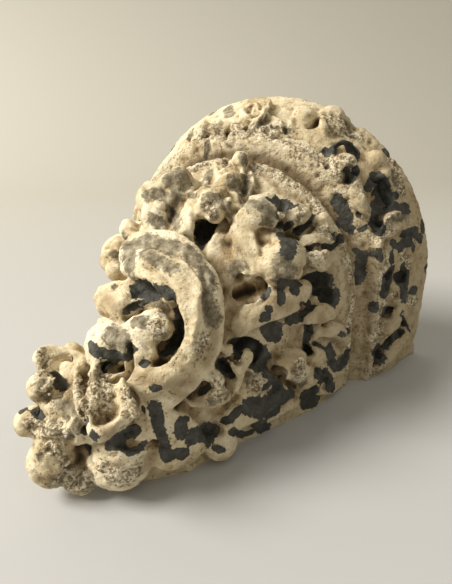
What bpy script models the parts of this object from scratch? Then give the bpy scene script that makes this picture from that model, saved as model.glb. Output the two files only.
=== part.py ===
"""Plaster wall corbel, cast in one piece and hung with its flat back on a wall.

A flat-topped shelf with a half-round front carries a carved frieze. Under it a rough torus and a hollow moulding lead
to a tapering body of leaves, buds and scrolls, which ends in a curled pendant. Metres, +Z up, the wall on the +Y side.
The origin is on the back face, on the centre line, where the wall fixing is.
"""
import math

import bmesh
import bpy
import numpy as np
from mathutils import Matrix, Vector

for old in list(bpy.data.objects):
    bpy.data.objects.remove(old, do_unlink=True)

MM = 0.001

# Driving sizes of the casting.
SHELF_WIDTH = 0.320
SHELF_STRAIGHT = 0.083
RIM_HEIGHT = 0.066
NECK_DROP = 0.077
NECK_WIDTH = 0.216
HEIGHT = 0.304
FIXING_DROP = 0.080

# Working allowances: stock cut away behind the wall plane and above the shelf, and the size of the modelling grid.
TRIM_STOCK = 0.012
GRID = 0.0024
FACES_KEPT = 0.060
PLAN_STEPS = 48

SHELF_HALF = SHELF_WIDTH / 2
NECK_HALF = NECK_WIDTH / 2
BODY_HEIGHT = HEIGHT - NECK_DROP

# Outline of the rim: drop as a share of the rim height, then how far the face lies inside the shelf edge.
RIM_OUTLINE = [(0.0, 0.0), (0.06, 1.5 * MM), (0.30, 8 * MM), (0.76, 20 * MM), (1.0, 34 * MM)]
# Outline of the body: share of the drop below the neck, half width over the neck's, straight sides over the shelf's.
BODY_OUTLINE = [
    (0.0, 1.0, 1.0), (0.035, 1.02, 1.0), (0.233, 0.89, 0.87), (0.388, 0.70, 0.82), (0.542, 0.50, 0.75),
    (0.696, 0.34, 0.58), (0.78, 0.24, 0.42), (0.85, 0.14, 0.26), (0.90, 0.06, 0.14),
]


def body_plan(share):
    """Half width and straight side of the plain body at a share of the way from the neck to the bottom."""
    shares = [row[0] for row in BODY_OUTLINE]
    half = np.interp(share, shares, [row[1] for row in BODY_OUTLINE]) * NECK_HALF
    straight = np.interp(share, shares, [row[2] for row in BODY_OUTLINE]) * SHELF_STRAIGHT
    return float(half), float(straight)


def rim_plan(share):
    """Half width and straight side of the rim at a share of the way down the frieze."""
    inset = np.interp(share, [row[0] for row in RIM_OUTLINE], [row[1] for row in RIM_OUTLINE])
    return SHELF_HALF - float(inset), SHELF_STRAIGHT


def plan(drop):
    """Half width and straight side of the plain casting at a drop below the shelf top."""
    if drop < (RIM_HEIGHT + NECK_DROP) / 2:
        return rim_plan(max(drop, 0.0) / RIM_HEIGHT)
    return body_plan((drop - NECK_DROP) / BODY_HEIGHT)


def around(drop, bearing, out, reach):
    """Point on the stilted half-round plan, and the way out of the sloping face there, taken over the reach.

    Bearing 0 is the front, 90 the side, 130 the wall; out is in millimetres.
    """
    half, straight = plan(drop)
    angle = math.radians(math.copysign(min(abs(bearing), 90.0), bearing))
    beyond = max(abs(bearing) - 90.0, 0.0) / 40.0
    across = (half + out * MM) * math.sin(angle)
    forward = straight * (1.0 - beyond) + (half + out * MM) * math.cos(angle)
    upper, lower = plan(drop - reach), plan(drop + reach)
    taper = (upper[0] - lower[0] + (upper[1] - lower[1]) * math.cos(angle)) / (2 * reach)
    way_out = Vector((math.sin(angle), -math.cos(angle), -taper)).normalized()
    return Vector((across, -forward, -drop)), way_out


def on_body(bearing, percent, out=0.0):
    """Place on the body and the way out of it; percent counts down from the neck."""
    return around(NECK_DROP + BODY_HEIGHT * percent / 100, bearing, out, 14 * MM)


def on_rim(bearing, percent, out=0.0):
    """The same on the frieze, with percent of the rim height."""
    return around(RIM_HEIGHT * percent / 100, bearing, out, 4 * MM)


def in_pendant(across, forward, percent):
    """Place in the pendant, by millimetres across and forward of the wall; its way out is away from its core."""
    place = Vector((across * MM, -forward * MM, -(NECK_DROP + BODY_HEIGHT * percent / 100)))
    core = Vector((0.0, -0.045, place.z * 0.4 - 0.160))
    return place, (place - core).normalized()


def local_axes(way_out, turn=0.0):
    """Axes lying on the surface: across, up along the face, and out."""
    across = Vector((0, 0, 1)).cross(way_out)
    if across.length < 0.1:
        across = Vector((1, 0, 0))
    across.normalize()
    up = way_out.cross(across).normalized()
    axes = Matrix((across, up, way_out)).transposed()
    return axes @ Matrix.Rotation(math.radians(turn), 3, "Z")


forms = bmesh.new()
hollows = bmesh.new()


def bud(spot, width, height, depth, turn=0.0, mesh=None):
    """Rounded form sitting on the surface, by its full sizes in millimetres."""
    place, way_out = spot
    axes = local_axes(way_out, turn)
    stretch = Matrix.Diagonal((width / 2 * MM, height / 2 * MM, depth / 2 * MM))
    matrix = Matrix.Translation(place) @ (axes @ stretch).to_4x4()
    bmesh.ops.create_icosphere(forms if mesh is None else mesh, subdivisions=3, radius=1.0, matrix=matrix)


def hollow(spot, width, height, depth, turn=0.0):
    """Rounded recess cut into the surface."""
    bud(spot, width, height, depth, turn, hollows)


def smooth_path(points, steps=6):
    """Curve through the given rows, worked out between each pair by a cubic."""
    rows = np.array(points, float)
    rows = np.vstack([2 * rows[0] - rows[1], rows, 2 * rows[-1] - rows[-2]])
    path = []
    for i in range(1, len(rows) - 2):
        before, start, end, after = rows[i - 1:i + 3]
        for t in np.arange(steps) / steps:
            path.append(0.5 * (2 * start + (end - before) * t + (2 * before - 5 * start + 4 * end - after) * t ** 2
                               + (3 * start - before - 3 * end + after) * t ** 3))
    path.append(rows[-2])
    return np.array(path)


TOPS = {
    "round": [(-1, 0), (-0.8, 0.6), (-0.45, 0.9), (0, 1), (0.45, 0.9), (0.8, 0.6), (1, 0)],
    "ridge": [(-1, 0), (-0.6, 0.4), (-0.2, 0.85), (0, 1), (0.2, 0.85), (0.6, 0.4), (1, 0)],
    "cup": [(-1, 0), (-0.92, 0.8), (-0.6, 0.55), (0, 0.3), (0.6, 0.55), (0.92, 0.8), (1, 0)],
    "flat": [(-1, 0), (-0.9, 0.6), (-0.6, 0.97), (0, 1), (0.6, 0.97), (0.9, 0.6), (1, 0)],
}


def sweep(spots, widths, section, mesh):
    """Closed bar: the section, by shares of half the width and millimetres out, drawn through the spots."""
    rows = [[*place, *way_out, width] for (place, way_out), width in zip(spots, widths)]
    path = smooth_path(rows)
    along = np.gradient(path[:, :3], axis=0)
    rings = []
    for row, heading in zip(path, along):
        way_out = row[3:6] / np.linalg.norm(row[3:6])
        side = np.cross(heading, way_out)
        side /= np.linalg.norm(side)
        half = max(row[6], 0.8) / 2 * MM
        rings.append([mesh.verts.new(Vector(row[:3] + side * across * half + way_out * up * MM))
                      for across, up in section])
    count = len(section)
    for lower, upper in zip(rings[:-1], rings[1:]):
        for k in range(count):
            mesh.faces.new((lower[k], lower[(k + 1) % count], upper[(k + 1) % count], upper[k]))
    mesh.faces.new(rings[0][::-1])
    mesh.faces.new(rings[-1])


def band(spots, widths, rise, top="round", sink=10.0):
    """Raised stroke along the surface, thinning as the widths say, with its foot sunk into the body."""
    section = [(across, up * rise) for across, up in TOPS[top]] + [(0.6, -sink), (-0.6, -sink)]
    sweep(spots, widths, section, forms)


def groove(spots, widths, depth, rise=9.0):
    """Stroke cut into the surface to a depth, with its mouth left open to the rise."""
    section = [(1, rise), (1, 0), (0.75, -0.7 * depth), (0, -depth), (-0.75, -0.7 * depth), (-1, 0), (-1, rise)]
    sweep(spots, widths, section, hollows)


def curl(spot, radius, turns, start, width, rise, hand=1, eye=0.55):
    """Spiral band that winds in to a small boss, as on a volute; start is where its outer end lies, in degrees."""
    place, way_out = spot
    axes = local_axes(way_out)
    steps = max(int(turns * 12), 6)
    spots = []
    widths = []
    for i in range(steps + 1):
        share = i / steps
        angle = math.radians(start + hand * 360 * turns * share)
        reach = radius * (1 - 0.75 * share) * MM
        offset = axes @ Vector((reach * math.cos(angle), reach * math.sin(angle), 2.5 * share * MM))
        spots.append((place + offset, way_out))
        widths.append(width * (1 - 0.45 * share))
    band(spots, widths, rise)
    if eye:
        bud(spot, radius * eye, radius * eye, 12)


# Core: the plain shelf, mouldings and body, lofted down from the top with stock behind the wall and above the shelf.
def plan_ring(half, straight, drop):
    ring = [forms.verts.new((half, TRIM_STOCK, -drop))]
    for i in range(PLAN_STEPS + 1):
        angle = math.pi * i / PLAN_STEPS
        ring.append(forms.verts.new((half * math.cos(angle), -straight - half * math.sin(angle), -drop)))
    ring.append(forms.verts.new((-half, TRIM_STOCK, -drop)))
    return ring


def build_core():
    stations = [(*rim_plan(0.0), -TRIM_STOCK)]
    for share, inset in RIM_OUTLINE:
        stations.append((SHELF_HALF - inset, SHELF_STRAIGHT, RIM_HEIGHT * share))
    torus_half = SHELF_HALF - RIM_OUTLINE[-1][1] - 3 * MM
    lower = RIM_HEIGHT + (NECK_DROP - RIM_HEIGHT) * 0.55
    stations.append((torus_half, SHELF_STRAIGHT, lower))
    stations.append((NECK_HALF, SHELF_STRAIGHT, NECK_DROP))
    for share, half, straight in BODY_OUTLINE[1:]:
        stations.append((half * NECK_HALF, straight * SHELF_STRAIGHT, NECK_DROP + BODY_HEIGHT * share))
    rings = [plan_ring(*row) for row in stations]
    for upper, under in zip(rings[:-1], rings[1:]):
        count = len(upper)
        for k in range(count):
            forms.faces.new((upper[k], upper[(k + 1) % count], under[(k + 1) % count], under[k]))
    forms.faces.new(rings[0])
    forms.faces.new(rings[-1])


build_core()


# Mouldings that run round the plan: torus under the frieze, bead at the head of the body.
def run_round(make_spot, percent, out, width, rise):
    bearings = np.linspace(-133, 133, 25)
    spots = [make_spot(bearing, percent, out) for bearing in bearings]
    band(spots, [width] * len(spots), rise, sink=5.0)


run_round(on_rim, 103, 0.0, 11, 5.0)
run_round(on_body, 3.6, -1.0, 7, 4.0)

# Frieze: leaves, loops and oval knobs raised on the sloping rim, with deep pockets between them, and the corner that
# has broken away at the right of the front.
band([on_rim(-19, 62, 2), on_rim(-19, 89, 3), on_rim(-21, 105, 2)], [6, 10, 6], 5)
band([on_rim(-12, 73, 2), on_rim(-12.5, 95, 3), on_body(-14, -2.5, 2)], [6, 9, 6], 4)
band([on_rim(-6, 80, 2), on_rim(-1.5, 97, 3), on_body(-3.5, -3, 2)], [5, 9, 6], 5)
band([on_rim(-3.5, 73, 2), on_rim(-4, 48, 3), on_rim(-1, 41, 3), on_rim(2.5, 63, 2)], [4, 6, 6, 4], 4)
band([on_rim(5, 77, 2), on_rim(5.5, 61, 4), on_rim(3, 30, 3)], [4, 7, 5], 5)
band([on_rim(-2, 69, 2), on_rim(2.5, 80, 3), on_rim(5.5, 79, 2)], [4, 6, 4], 4)
curl(on_rim(1.5, 90, 2), 8, 1, 200, 4, 3, eye=0)
curl(on_rim(9.5, 88, 2), 9, 1, 20, 4, 3, -1, eye=0)
bud(on_rim(17, 45, 3), 21, 20, 13, -15)
band([on_rim(20, 22, 2), on_rim(24, 50, 4), on_rim(27.5, 64, 2)], [3, 5, 3], 4)
bud(on_rim(24, 16, 2), 22, 22, 12)
bud(on_rim(27.5, 36, 2), 20, 20, 12)
hollow(on_rim(-27, 70, 2), 8, 17, 9, -5)
hollow(on_rim(-7.5, 89, 2), 6, 15, 8, -5)
hollow(on_rim(-17.5, 97, 1), 5, 18, 7, -40)
hollow(on_rim(-19.5, 27, 0), 9, 10, 4)
hollow(on_rim(0, 54, 1), 3.5, 12, 6, -30)
hollow(on_rim(4.5, 45, 2), 4, 8, 7)
hollow(on_rim(15, 78, 1), 9, 9, 5)
hollow(on_rim(20.5, 41, 2), 4, 17, 9, -25)
hollow(on_rim(30.5, 13, 3), 16, 26, 16, -30)
hollow(on_rim(34, 26, 2), 14, 14, 8)

# Round knob at the right of the frieze, its tail leaf, and the leaves behind it.
bud(on_rim(40, 91, 8), 22, 20, 18)
hollow(on_rim(42, 103, 16), 4, 14, 9, 35)
band([on_rim(44, 81, 4), on_rim(48, 97, 6), on_rim(53, 105, 6), on_rim(57.5, 104, 4)], [8, 13, 12, 5], 6)
band([on_rim(45.5, 99, 4), on_rim(45, 92, 6), on_rim(44, 80, 5)], [4, 8, 6], 5)
band([on_rim(35, 91, 3), on_rim(33, 78, 4), on_rim(35.5, 61, 4), on_rim(41, 59, 3)], [4, 6, 6, 4], 4)
hollow(on_rim(35, 65, 0), 22, 10, 8, -10)
bud(on_rim(45, 41, 4), 18, 18, 14, 30)
bud(on_rim(50, 43, 3), 12, 16, 11, 30)
hollow(on_rim(55.5, 58, -1), 18, 32, 15, -12)
band([on_rim(64.5, 55, 2), on_rim(64.5, 83, 9), on_rim(66, 96, 9), on_rim(67, 95, 3)],
      [10, 18, 15, 6], 8, "cup")
hollow(on_rim(70, 55, 2), 9, 18, 9, -30)
band([on_rim(67.5, 90, 2), on_rim(69.5, 105, 5), on_body(73.5, -3, 5), on_rim(78, 101, 3)], [4, 6, 6, 4], 5)
band([on_rim(70.5, 77, 1), on_rim(77, 89, 3), on_rim(85, 95, 3), on_rim(94, 94, 1)], [8, 14, 14, 6], 4, "cup")
band([on_rim(82.5, 62, 1), on_rim(93, 72, 3), on_rim(103, 78, 3), on_rim(110, 89, 1)], [8, 15, 15, 6], 5)
band([on_rim(113, 30, 1), on_rim(116.5, 60, 3), on_rim(121.5, 79, 3), on_rim(126.5, 93, 1)],
      [8, 15, 15, 6], 5)
hollow(on_rim(84, 76, -1), 10, 26, 8, -20)
hollow(on_rim(99, 82, 0), 10, 14, 6, 20)
hollow(on_rim(110, 41, -1), 8, 18, 8, 20)
hollow(on_rim(112, 73, -1), 7, 26, 8, 50)
hollow(on_rim(118, 88, -1), 12, 16, 7)

# Left side of the frieze, carved like the right.
for bearing in (-62, -86, -108):
    bud(on_rim(bearing, 46, 2), 19, 15, 13, 20)
    curl(on_rim(bearing - 10, 60, 1), 13, 1.0, 60, 8, 6, -1)
    band([on_rim(bearing - 16, 24, 1), on_rim(bearing - 18, 60, 3), on_rim(bearing - 15, 94, 1)], [6, 13, 6], 6)
    hollow(on_rim(bearing - 5, 80, 0), 12, 18, 12, 20)
    hollow(on_rim(bearing - 20, 50, 0), 10, 22, 10, -15)
bud(on_rim(-124, 50, 2), 18, 18, 12)

# Buds and stalks on the front of the body, round a deep hole.
bud(on_body(-11, 25, 20), 20, 22, 22)
bud(on_body(-15, 27.5, 20), 18, 20, 24)
bud(on_body(-10.5, 30.5, 14), 17, 20, 22)
bud(on_body(-21, 31.5, 22), 28, 28, 26)
bud(on_body(-17, 37, 18), 24, 26, 24)
bud(on_body(-15, 38.5, 12), 16, 22, 20)
hollow(on_body(-11, 41.5, 34), 26, 5, 10, -10)
bud(on_body(8, 31, 16), 22, 24, 22)
bud(on_body(3, 29.5, 16), 13, 15, 16)
bud(on_body(9, 28.5, 16), 13, 15, 16)
bud(on_body(15, 31, 16), 13, 15, 16)
bud(on_body(12, 34.5, 16), 13, 15, 16)
bud(on_body(6, 34, 16), 13, 15, 16)
bud(on_body(8.5, 19.5, 10), 15, 18, 18)
bud(on_body(7.5, 16, 6), 12, 16, 16)
bud(on_body(6, 7.5, 8), 15, 16, 15)
hollow(on_body(7.5, 4.5, 4), 8, 7, 8)
band([on_body(-5, 9.5, 4), on_body(-4, 17, 6), on_body(-3.5, 22, 7)], [7, 10, 6], 5, "cup")
band([on_body(1, 11, 4), on_body(3, 18, 6), on_body(3.5, 23.5, 7)], [8, 12, 7], 6, "ridge")
band([on_body(10, 9, 3), on_body(14.5, 15, 5), on_body(17, 21.5, 6)], [8, 12, 8], 4, "cup")
band([on_body(12.5, 22.5, 7), on_body(17.5, 27.5, 9), on_body(19.5, 31.5, 9)], [10, 13, 8], 6)
hollow(on_body(14.5, 30.5, 10), 7, 10, 12, 15)
hollow(on_body(-7.5, 10, 2), 4.5, 15, 8, 15)
band([on_body(-7.5, 19, 6), on_body(-4, 28.5, 11), on_body(0, 35.5, 12), on_body(3, 42, 13)],
      [6, 15, 15, 12], 6)
band([on_body(-9, 31, 10), on_body(-6, 37.5, 12), on_body(-5, 43, 13)], [9, 14, 12], 5, "cup")
band([on_body(-29.5, 31, 12), on_body(-21.5, 38, 12), on_body(-15, 43, 12)], [7, 9, 8], 5)
band([on_body(-10, 24, 8), on_body(-4.5, 24.5, 8), on_body(0.5, 26, 8)], [6, 8, 6], 5)
hollow(on_body(7.5, 35.5, 2), 20, 17, 24, -15)
hollow(on_body(5, 31, -4), 20, 22, 20, -20)

# Broad leaf right of the hole, rolled over at its head.
bud(on_body(26.5, 28, 14), 32, 30, 26)
bud(on_body(28, 25, 14), 20, 26, 24)
band([on_body(25, 31, 8), on_body(29, 35.5, 10), on_body(36, 38.5, 10), on_body(44, 40, 8)],
      [20, 24, 22, 14], 6)
band([on_body(18.5, 34, 4), on_body(23.5, 38.5, 3), on_body(31, 42, 3), on_body(39.5, 43.5, 3)],
      [16, 26, 28, 18], 5, "cup")
bud(on_body(47.5, 34, 16), 32, 38, 30, 20)
bud(on_body(37.5, 29.5, 11), 18, 18, 18)
hollow(on_body(47.5, 43, 4), 26, 18, 18, -15)
hollow(on_body(31, 14.5, 2), 12, 12, 16)
hollow(on_body(44, 22, 0), 15, 20, 26)

# Acanthus lobes at the right, fanned over a deep recess, with the tongue leaf under them and the hooked curl below.
bud(on_body(39.5, 18.5, 12), 17, 22, 17, -20)
band([on_body(41.5, 23, 10), on_body(38, 22, 12), on_body(37.5, 18, 12), on_body(41, 12.5, 9)],
      [6, 7, 7, 5], 4)
groove([on_body(43, 24, 12), on_body(45, 20, 13), on_body(44.5, 13.5, 12)], [4, 5, 4], 9)
bud(on_body(49, 12, 9), 16, 17, 14)
bud(on_body(50.5, 17.5, 9), 10, 12, 10)
bud(on_body(54, 12, 9), 12, 14, 12)
band([on_body(46, 23.5, 8), on_body(49.5, 22, 12), on_body(53.5, 18.5, 11), on_body(57, 11.5, 7)],
      [9, 12, 11, 7], 6)
groove([on_body(50, 26, 15), on_body(54.5, 22, 15), on_body(59, 13.5, 12)], [4, 4.5, 4], 9)
band([on_body(50.5, 26, 8), on_body(54, 25, 13), on_body(58.5, 22, 12), on_body(62, 18, 8)],
      [11, 16, 15, 9], 6)
hollow(on_body(67, 21.5, 0), 18, 34, 34)
hollow(on_body(77, 18.5, 0), 15, 22, 32)
hollow(on_body(59, 25.5, 4), 9, 12, 24)
band([on_body(59.5, 52.5, 6), on_body(57.5, 46, 8), on_body(61, 39, 9), on_body(63.5, 33.5, 10),
      on_body(63, 30, 10), on_body(60, 30.5, 7)], [10, 20, 24, 20, 12, 8], 6)
hollow(on_body(67.5, 34, 13), 5, 8, 7)
groove([on_body(70, 39.5, 8), on_body(73, 35, 9), on_body(72, 29.5, 9)], [5, 7, 6], 10)
band([on_body(77, 32, 5), on_body(76.5, 29, 8), on_body(78.5, 24.5, 8), on_body(83.5, 20.5, 4)],
      [8, 15, 14, 7], 6)
groove([on_body(82.5, 28.5, 9), on_body(84, 24.5, 10), on_body(85.5, 19.5, 8)], [3, 4, 3], 7)
band([on_body(87.5, 29, 4), on_body(87, 24.5, 6), on_body(95, 15.5, 6), on_body(106, 7.5, 3)],
      [8, 13, 13, 7], 4)
groove([on_body(81, 29.5, 7), on_body(82, 32, 7), on_body(88, 32.5, 7), on_body(97, 29.5, 6)],
      [5, 8, 8, 5], 9)
groove([on_body(92, 28.5, 6), on_body(97.5, 23.5, 6), on_body(108.5, 20, 5), on_body(112.5, 9, 4)],
      [4, 6, 7, 5], 7)
bud(on_body(99.5, 26.5, 4), 22, 16, 12)
bud(on_body(108, 29.5, 4), 20, 30, 12)
groove([on_body(108, 25, 5), on_body(114, 21, 5), on_body(122.5, 20, 4)], [4, 6, 4], 7)
bud(on_body(95, 39, 8), 26, 34, 18, 15)
bud(on_body(102, 33.5, 6), 18, 20, 16)
groove([on_body(81, 46, 6), on_body(91.5, 44, 6), on_body(102.5, 39, 5), on_body(110.5, 34, 4)],
      [5, 7, 7, 4], 7)
groove([on_body(76.5, 55, 7), on_body(68, 55, 7), on_body(66.5, 52, 7), on_body(72.5, 49, 7),
      on_body(81.5, 47.5, 7), on_body(86, 50, 7)], [6, 9, 9, 9, 9, 5], 12)
band([on_body(83, 54.5, 6), on_body(78.5, 51.5, 6), on_body(73.5, 51, 6), on_body(70.5, 51.5, 5)],
      [7, 9, 10, 7], 5, sink=14)
band([on_body(124, 4), on_body(122, 14, 3), on_body(117, 26, 3)], [14, 22, 10], 4, "cup")

# Small spiral at the lower right, and the flat leaves that run back to the wall.
band([on_body(60, 57, 11), on_body(71.5, 56, 11), on_body(82, 57, 10), on_body(88.5, 60, 9),
      on_body(84, 65.5, 8), on_body(70, 70, 7)], [7, 9, 9, 9, 8, 6], 6, sink=16)
bud(on_body(78, 62.5, 9), 18, 20, 20, -20)
bud(on_body(68.5, 62.5, 9), 12, 14, 14)
groove([on_body(62, 61.5, 12), on_body(72, 60, 12), on_body(83, 60, 11), on_body(88, 62, 10)],
      [5, 7, 6, 4], 12)
groove([on_body(66, 71, 12), on_body(69, 67.5, 12), on_body(68.5, 65, 12)], [7, 9, 8], 12)
bud(on_body(98, 48.5, 4), 26, 30, 16)
band([on_body(111.5, 34.5, 3), on_body(108.5, 44.5, 5), on_body(109, 53, 6), on_body(110, 60.5, 6)],
      [12, 24, 26, 14], 5, "flat")
bud(on_body(119, 61, 6), 26, 26, 18)
band([on_body(119.5, 31.5, 1), on_body(119, 41.5, 3), on_body(120, 49.5, 3)], [8, 14, 8], 4)
band([on_body(56.5, 76, 4), on_body(75.5, 75, 5), on_body(97.5, 72, 5), on_body(115, 67, 4)],
      [10, 24, 26, 14], 5, "flat")
bud(on_body(102.5, 75.5, 4), 26, 26, 14)

# Scroll on the lower front: a broad C band with a raised lip, a broken rosette on its stalk, and a leaf behind.
band([on_body(-24.5, 51.5, 18), on_body(-7.5, 55, 23), on_body(6, 56.5, 24), on_body(18, 59, 24),
      on_body(27.5, 62, 23), on_body(34.5, 65.5, 21), on_body(36.5, 70, 18), on_body(30, 74, 15),
      on_body(18.5, 77, 12)], [10, 18, 22, 24, 25, 25, 24, 22, 16], 7, "flat", sink=26)
band([on_body(-28, 44, 18), on_body(-13.5, 47.5, 21), on_body(-1, 48, 21), on_body(11.5, 49.5, 20),
      on_body(24, 52, 19), on_body(34.5, 55.5, 18), on_body(43.5, 59, 16), on_body(50, 62.5, 13),
      on_body(53.5, 67, 10), on_body(47.5, 73.5, 8), on_body(36, 78, 7)],
      [10, 16, 18, 20, 20, 20, 20, 20, 20, 18, 14], 6, sink=26)
bud(on_body(-31.5, 40, 18), 14, 14, 16)
groove([on_body(7, 65, 25), on_body(14, 64, 25), on_body(22, 64.5, 25), on_body(28.5, 66.5, 25),
      on_body(30.5, 69.5, 24), on_body(27.5, 72.5, 23), on_body(22.5, 74, 22)],
      [4, 7, 10, 11, 11, 11, 6], 17)
groove([on_body(-8.5, 68.5, 24), on_body(-2.5, 67, 25), on_body(2.5, 65, 25), on_body(10, 64.5, 25)],
      [4, 6, 6, 5], 10)
band([on_body(-17.5, 59.5, 14), on_body(-5.5, 60, 16), on_body(6, 60, 14), on_body(16, 60, 10)],
      [16, 20, 18, 8], 5, "cup", sink=16)
bud(on_body(10, 69, 20), 30, 22, 20)
bud(on_body(18.5, 67, 21), 22, 20, 20)
bud(on_body(16, 69, 24), 24, 16, 12)
band([on_body(0.5, 70.5, 24), on_body(7, 69, 27), on_body(13, 67, 27), on_body(19.5, 65, 25),
      on_body(24.5, 64.5, 22)], [8, 12, 12, 10, 4], 4, "ridge", sink=12)
bud(on_body(6.5, 71.5, 16), 30, 26, 20)
band([on_body(6.5, 74.5, 14), on_body(18, 75, 13), on_body(30, 73, 12)], [16, 20, 14], 5, sink=16)
hollow(on_body(28.5, 69, 18), 18, 12, 16, 30)

# Left of the scroll: knobs, a leaf, and a bud in its socket.
bud(on_body(-44, 45.5, 18), 20, 20, 22)
bud(on_body(-40, 49, 14), 16, 18, 20)
band([on_body(-37, 60.5, 24), on_body(-26.5, 61.5, 21), on_body(-14, 63, 19), on_body(-7, 62.5, 14)],
      [12, 26, 26, 10], 6, "flat", sink=20)
bud(on_body(-34.5, 60, 14), 26, 22, 20)
groove([on_body(-33.5, 73.5, 26), on_body(-19, 78.5, 24), on_body(-5, 80, 22), on_body(4.5, 78, 21),
      on_body(6.5, 74, 20), on_body(2, 71, 20)], [4, 7, 8, 8, 7, 4], 13)
bud(on_body(-25, 69.5, 15), 26, 28, 24)
band([on_body(-32, 70.5, 24), on_body(-24.5, 75.5, 26), on_body(-18, 78.5, 22)], [8, 12, 8], 5, sink=24)

# Hidden left side of the body, in keeping with the right one.
bud(on_body(-52, 36, 11), 32, 36, 28, -20)
band([on_body(-49, 28, 7), on_body(-55, 20, 11), on_body(-61, 13, 6)], [12, 16, 9], 7)
band([on_body(-66, 34, 8), on_body(-70, 28, 10), on_body(-76, 22, 6)], [16, 18, 8], 7)
band([on_body(-84, 46, 5), on_body(-86, 36, 8), on_body(-92, 26, 6),
      on_body(-96, 16, 3)], [14, 20, 16, 8], 6, "ridge")
bud(on_body(-96, 42, 7), 32, 22, 22, -25)
curl(on_body(-77, 58, 6), 20, 1.1, 70, 11, 8)
hollow(on_body(-68, 22, 1), 18, 26, 22)
hollow(on_body(-64, 48, 4), 18, 16, 16)
hollow(on_body(-88, 30, 2), 6, 24, 14)
band([on_body(-62, 4), on_body(-64, 9, 2), on_body(-68, 14, 1)], [10, 16, 8], 4)
band([on_body(-84, 4), on_body(-86, 9, 2), on_body(-86, 14, 1)], [12, 18, 8], 4)
band([on_body(-108, 6), on_body(-106, 14, 3), on_body(-104, 22, 2)], [14, 20, 8], 4)
band([on_body(-124, 4), on_body(-122, 14, 3), on_body(-117, 26, 3)], [14, 22, 10], 4, "cup")
band([on_body(-56, 80, 4), on_body(-74, 74, 7), on_body(-100, 66, 9),
      on_body(-124, 56, 5)], [10, 20, 24, 10], 7, "flat")
band([on_body(-104, 50, 2), on_body(-112, 44, 4), on_body(-122, 36, 3)], [10, 18, 10], 6, "flat")

# Pendant: a round pod with a cleft, ridged leaf folds hanging over it, and a scrolled cluster to its left.
bud(in_pendant(2, 25, 82), 45, 45, 45)
bud(in_pendant(8, 38, 81), 36, 30, 34)
bud(in_pendant(-32, 34, 91), 39, 34, 26)
bud(in_pendant(-37, 24, 94), 32, 26, 22)
bud(in_pendant(-22, 18, 90), 36, 23, 26)
bud(in_pendant(-51, 50, 91), 19, 24, 22)
bud(in_pendant(-28, 47, 90), 30, 24, 24)
bud(in_pendant(-34, 58, 86), 30, 30, 26)
bud(in_pendant(-45, 71, 86), 22, 25, 24)
bud(in_pendant(-59, 66, 73), 26, 18, 24)
bud(in_pendant(-28, 72, 77), 32, 22, 24)
band([in_pendant(-53, 80, 84), in_pendant(-61, 83, 82), in_pendant(-60, 86, 79), in_pendant(-53, 86, 77),
      in_pendant(-42, 84, 75), in_pendant(-30, 80, 74)], [6, 8, 7, 7, 7, 6], 4, sink=12)
hollow(in_pendant(-47, 80, 79), 17, 7.5, 20)
bud(in_pendant(-10, 70, 81), 24, 38, 24)
bud(in_pendant(-14, 54, 84), 30, 40, 30)
bud(in_pendant(-20, 36, 86), 26, 34, 26)
bud(in_pendant(0, 60, 85), 22, 20, 22)
band([in_pendant(-28, 82, 79), in_pendant(-17, 76, 85), in_pendant(-8, 70, 89)], [5, 8, 7], 7, "ridge", sink=14)
band([in_pendant(-17, 84, 78), in_pendant(-6, 82, 84), in_pendant(5, 78, 89)], [6, 8, 6], 6, "ridge", sink=14)
band([in_pendant(5, 78, 79), in_pendant(16, 74, 83), in_pendant(24, 68, 85)], [7, 11, 11], 7, sink=14)
band([in_pendant(7, 68, 74), in_pendant(17, 62, 76), in_pendant(23, 54, 78),
      in_pendant(28, 44, 79)], [8, 11, 11, 8], 6, sink=16)
band([in_pendant(2, 66, 91), in_pendant(11, 64, 91), in_pendant(14, 64, 89),
      in_pendant(13, 64, 85)], [8, 10, 9, 6], 7, sink=14)
band([in_pendant(6, 62, 90), in_pendant(10, 56, 92)], [7, 3], 6, sink=12)
hollow(in_pendant(-7, 84, 77), 7.5, 9.5, 14)
groove([in_pendant(11, 52, 91), in_pendant(16, 50, 89), in_pendant(22, 46, 86),
        in_pendant(26, 40, 80)], [2, 7, 9, 2], 12)
hollow(in_pendant(18, 54, 86), 15, 9, 18, 15)
hollow(in_pendant(21, 64, 80), 4, 9, 9)
groove([in_pendant(-6, 60, 89), in_pendant(-3, 54, 92), in_pendant(2, 44, 94),
        in_pendant(9, 34, 94)], [5, 4, 4, 2], 12)
groove([in_pendant(-24, 82, 83), in_pendant(-17, 78, 88), in_pendant(-9, 70, 90)], [3, 5, 4], 8)
groove([in_pendant(-19, 82, 80), in_pendant(-8, 76, 86), in_pendant(1, 68, 91)], [2.5, 4, 5], 9)
hollow(in_pendant(10, 78, 88), 10, 14, 8)
hollow(in_pendant(-42, 58, 90), 7, 6, 9)
groove([in_pendant(-41, 76, 82), in_pendant(-34, 72, 85), in_pendant(-34, 68, 89),
        in_pendant(-39, 66, 91)], [3, 5, 4, 2], 9)
hollow(in_pendant(-27, 44, 99), 9, 9, 5)

bmesh.ops.recalc_face_normals(forms, faces=forms.faces)
bmesh.ops.recalc_face_normals(hollows, faces=hollows.faces)


def add_object(name, mesh_data):
    """Put a bmesh into the scene with the shelf top lifted above the wall fixing."""
    bmesh.ops.translate(mesh_data, verts=mesh_data.verts, vec=(0.0, 0.0, FIXING_DROP))
    mesh = bpy.data.meshes.new(name)
    mesh_data.to_mesh(mesh)
    mesh_data.free()
    made = bpy.data.objects.new(name, mesh)
    bpy.context.collection.objects.link(made)
    return made


def as_cutter(made):
    made.hide_render = True
    made.display_type = "WIRE"
    return made


corbel = add_object("plaster_corbel", forms)
recesses = as_cutter(add_object("recesses", hollows))

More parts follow.
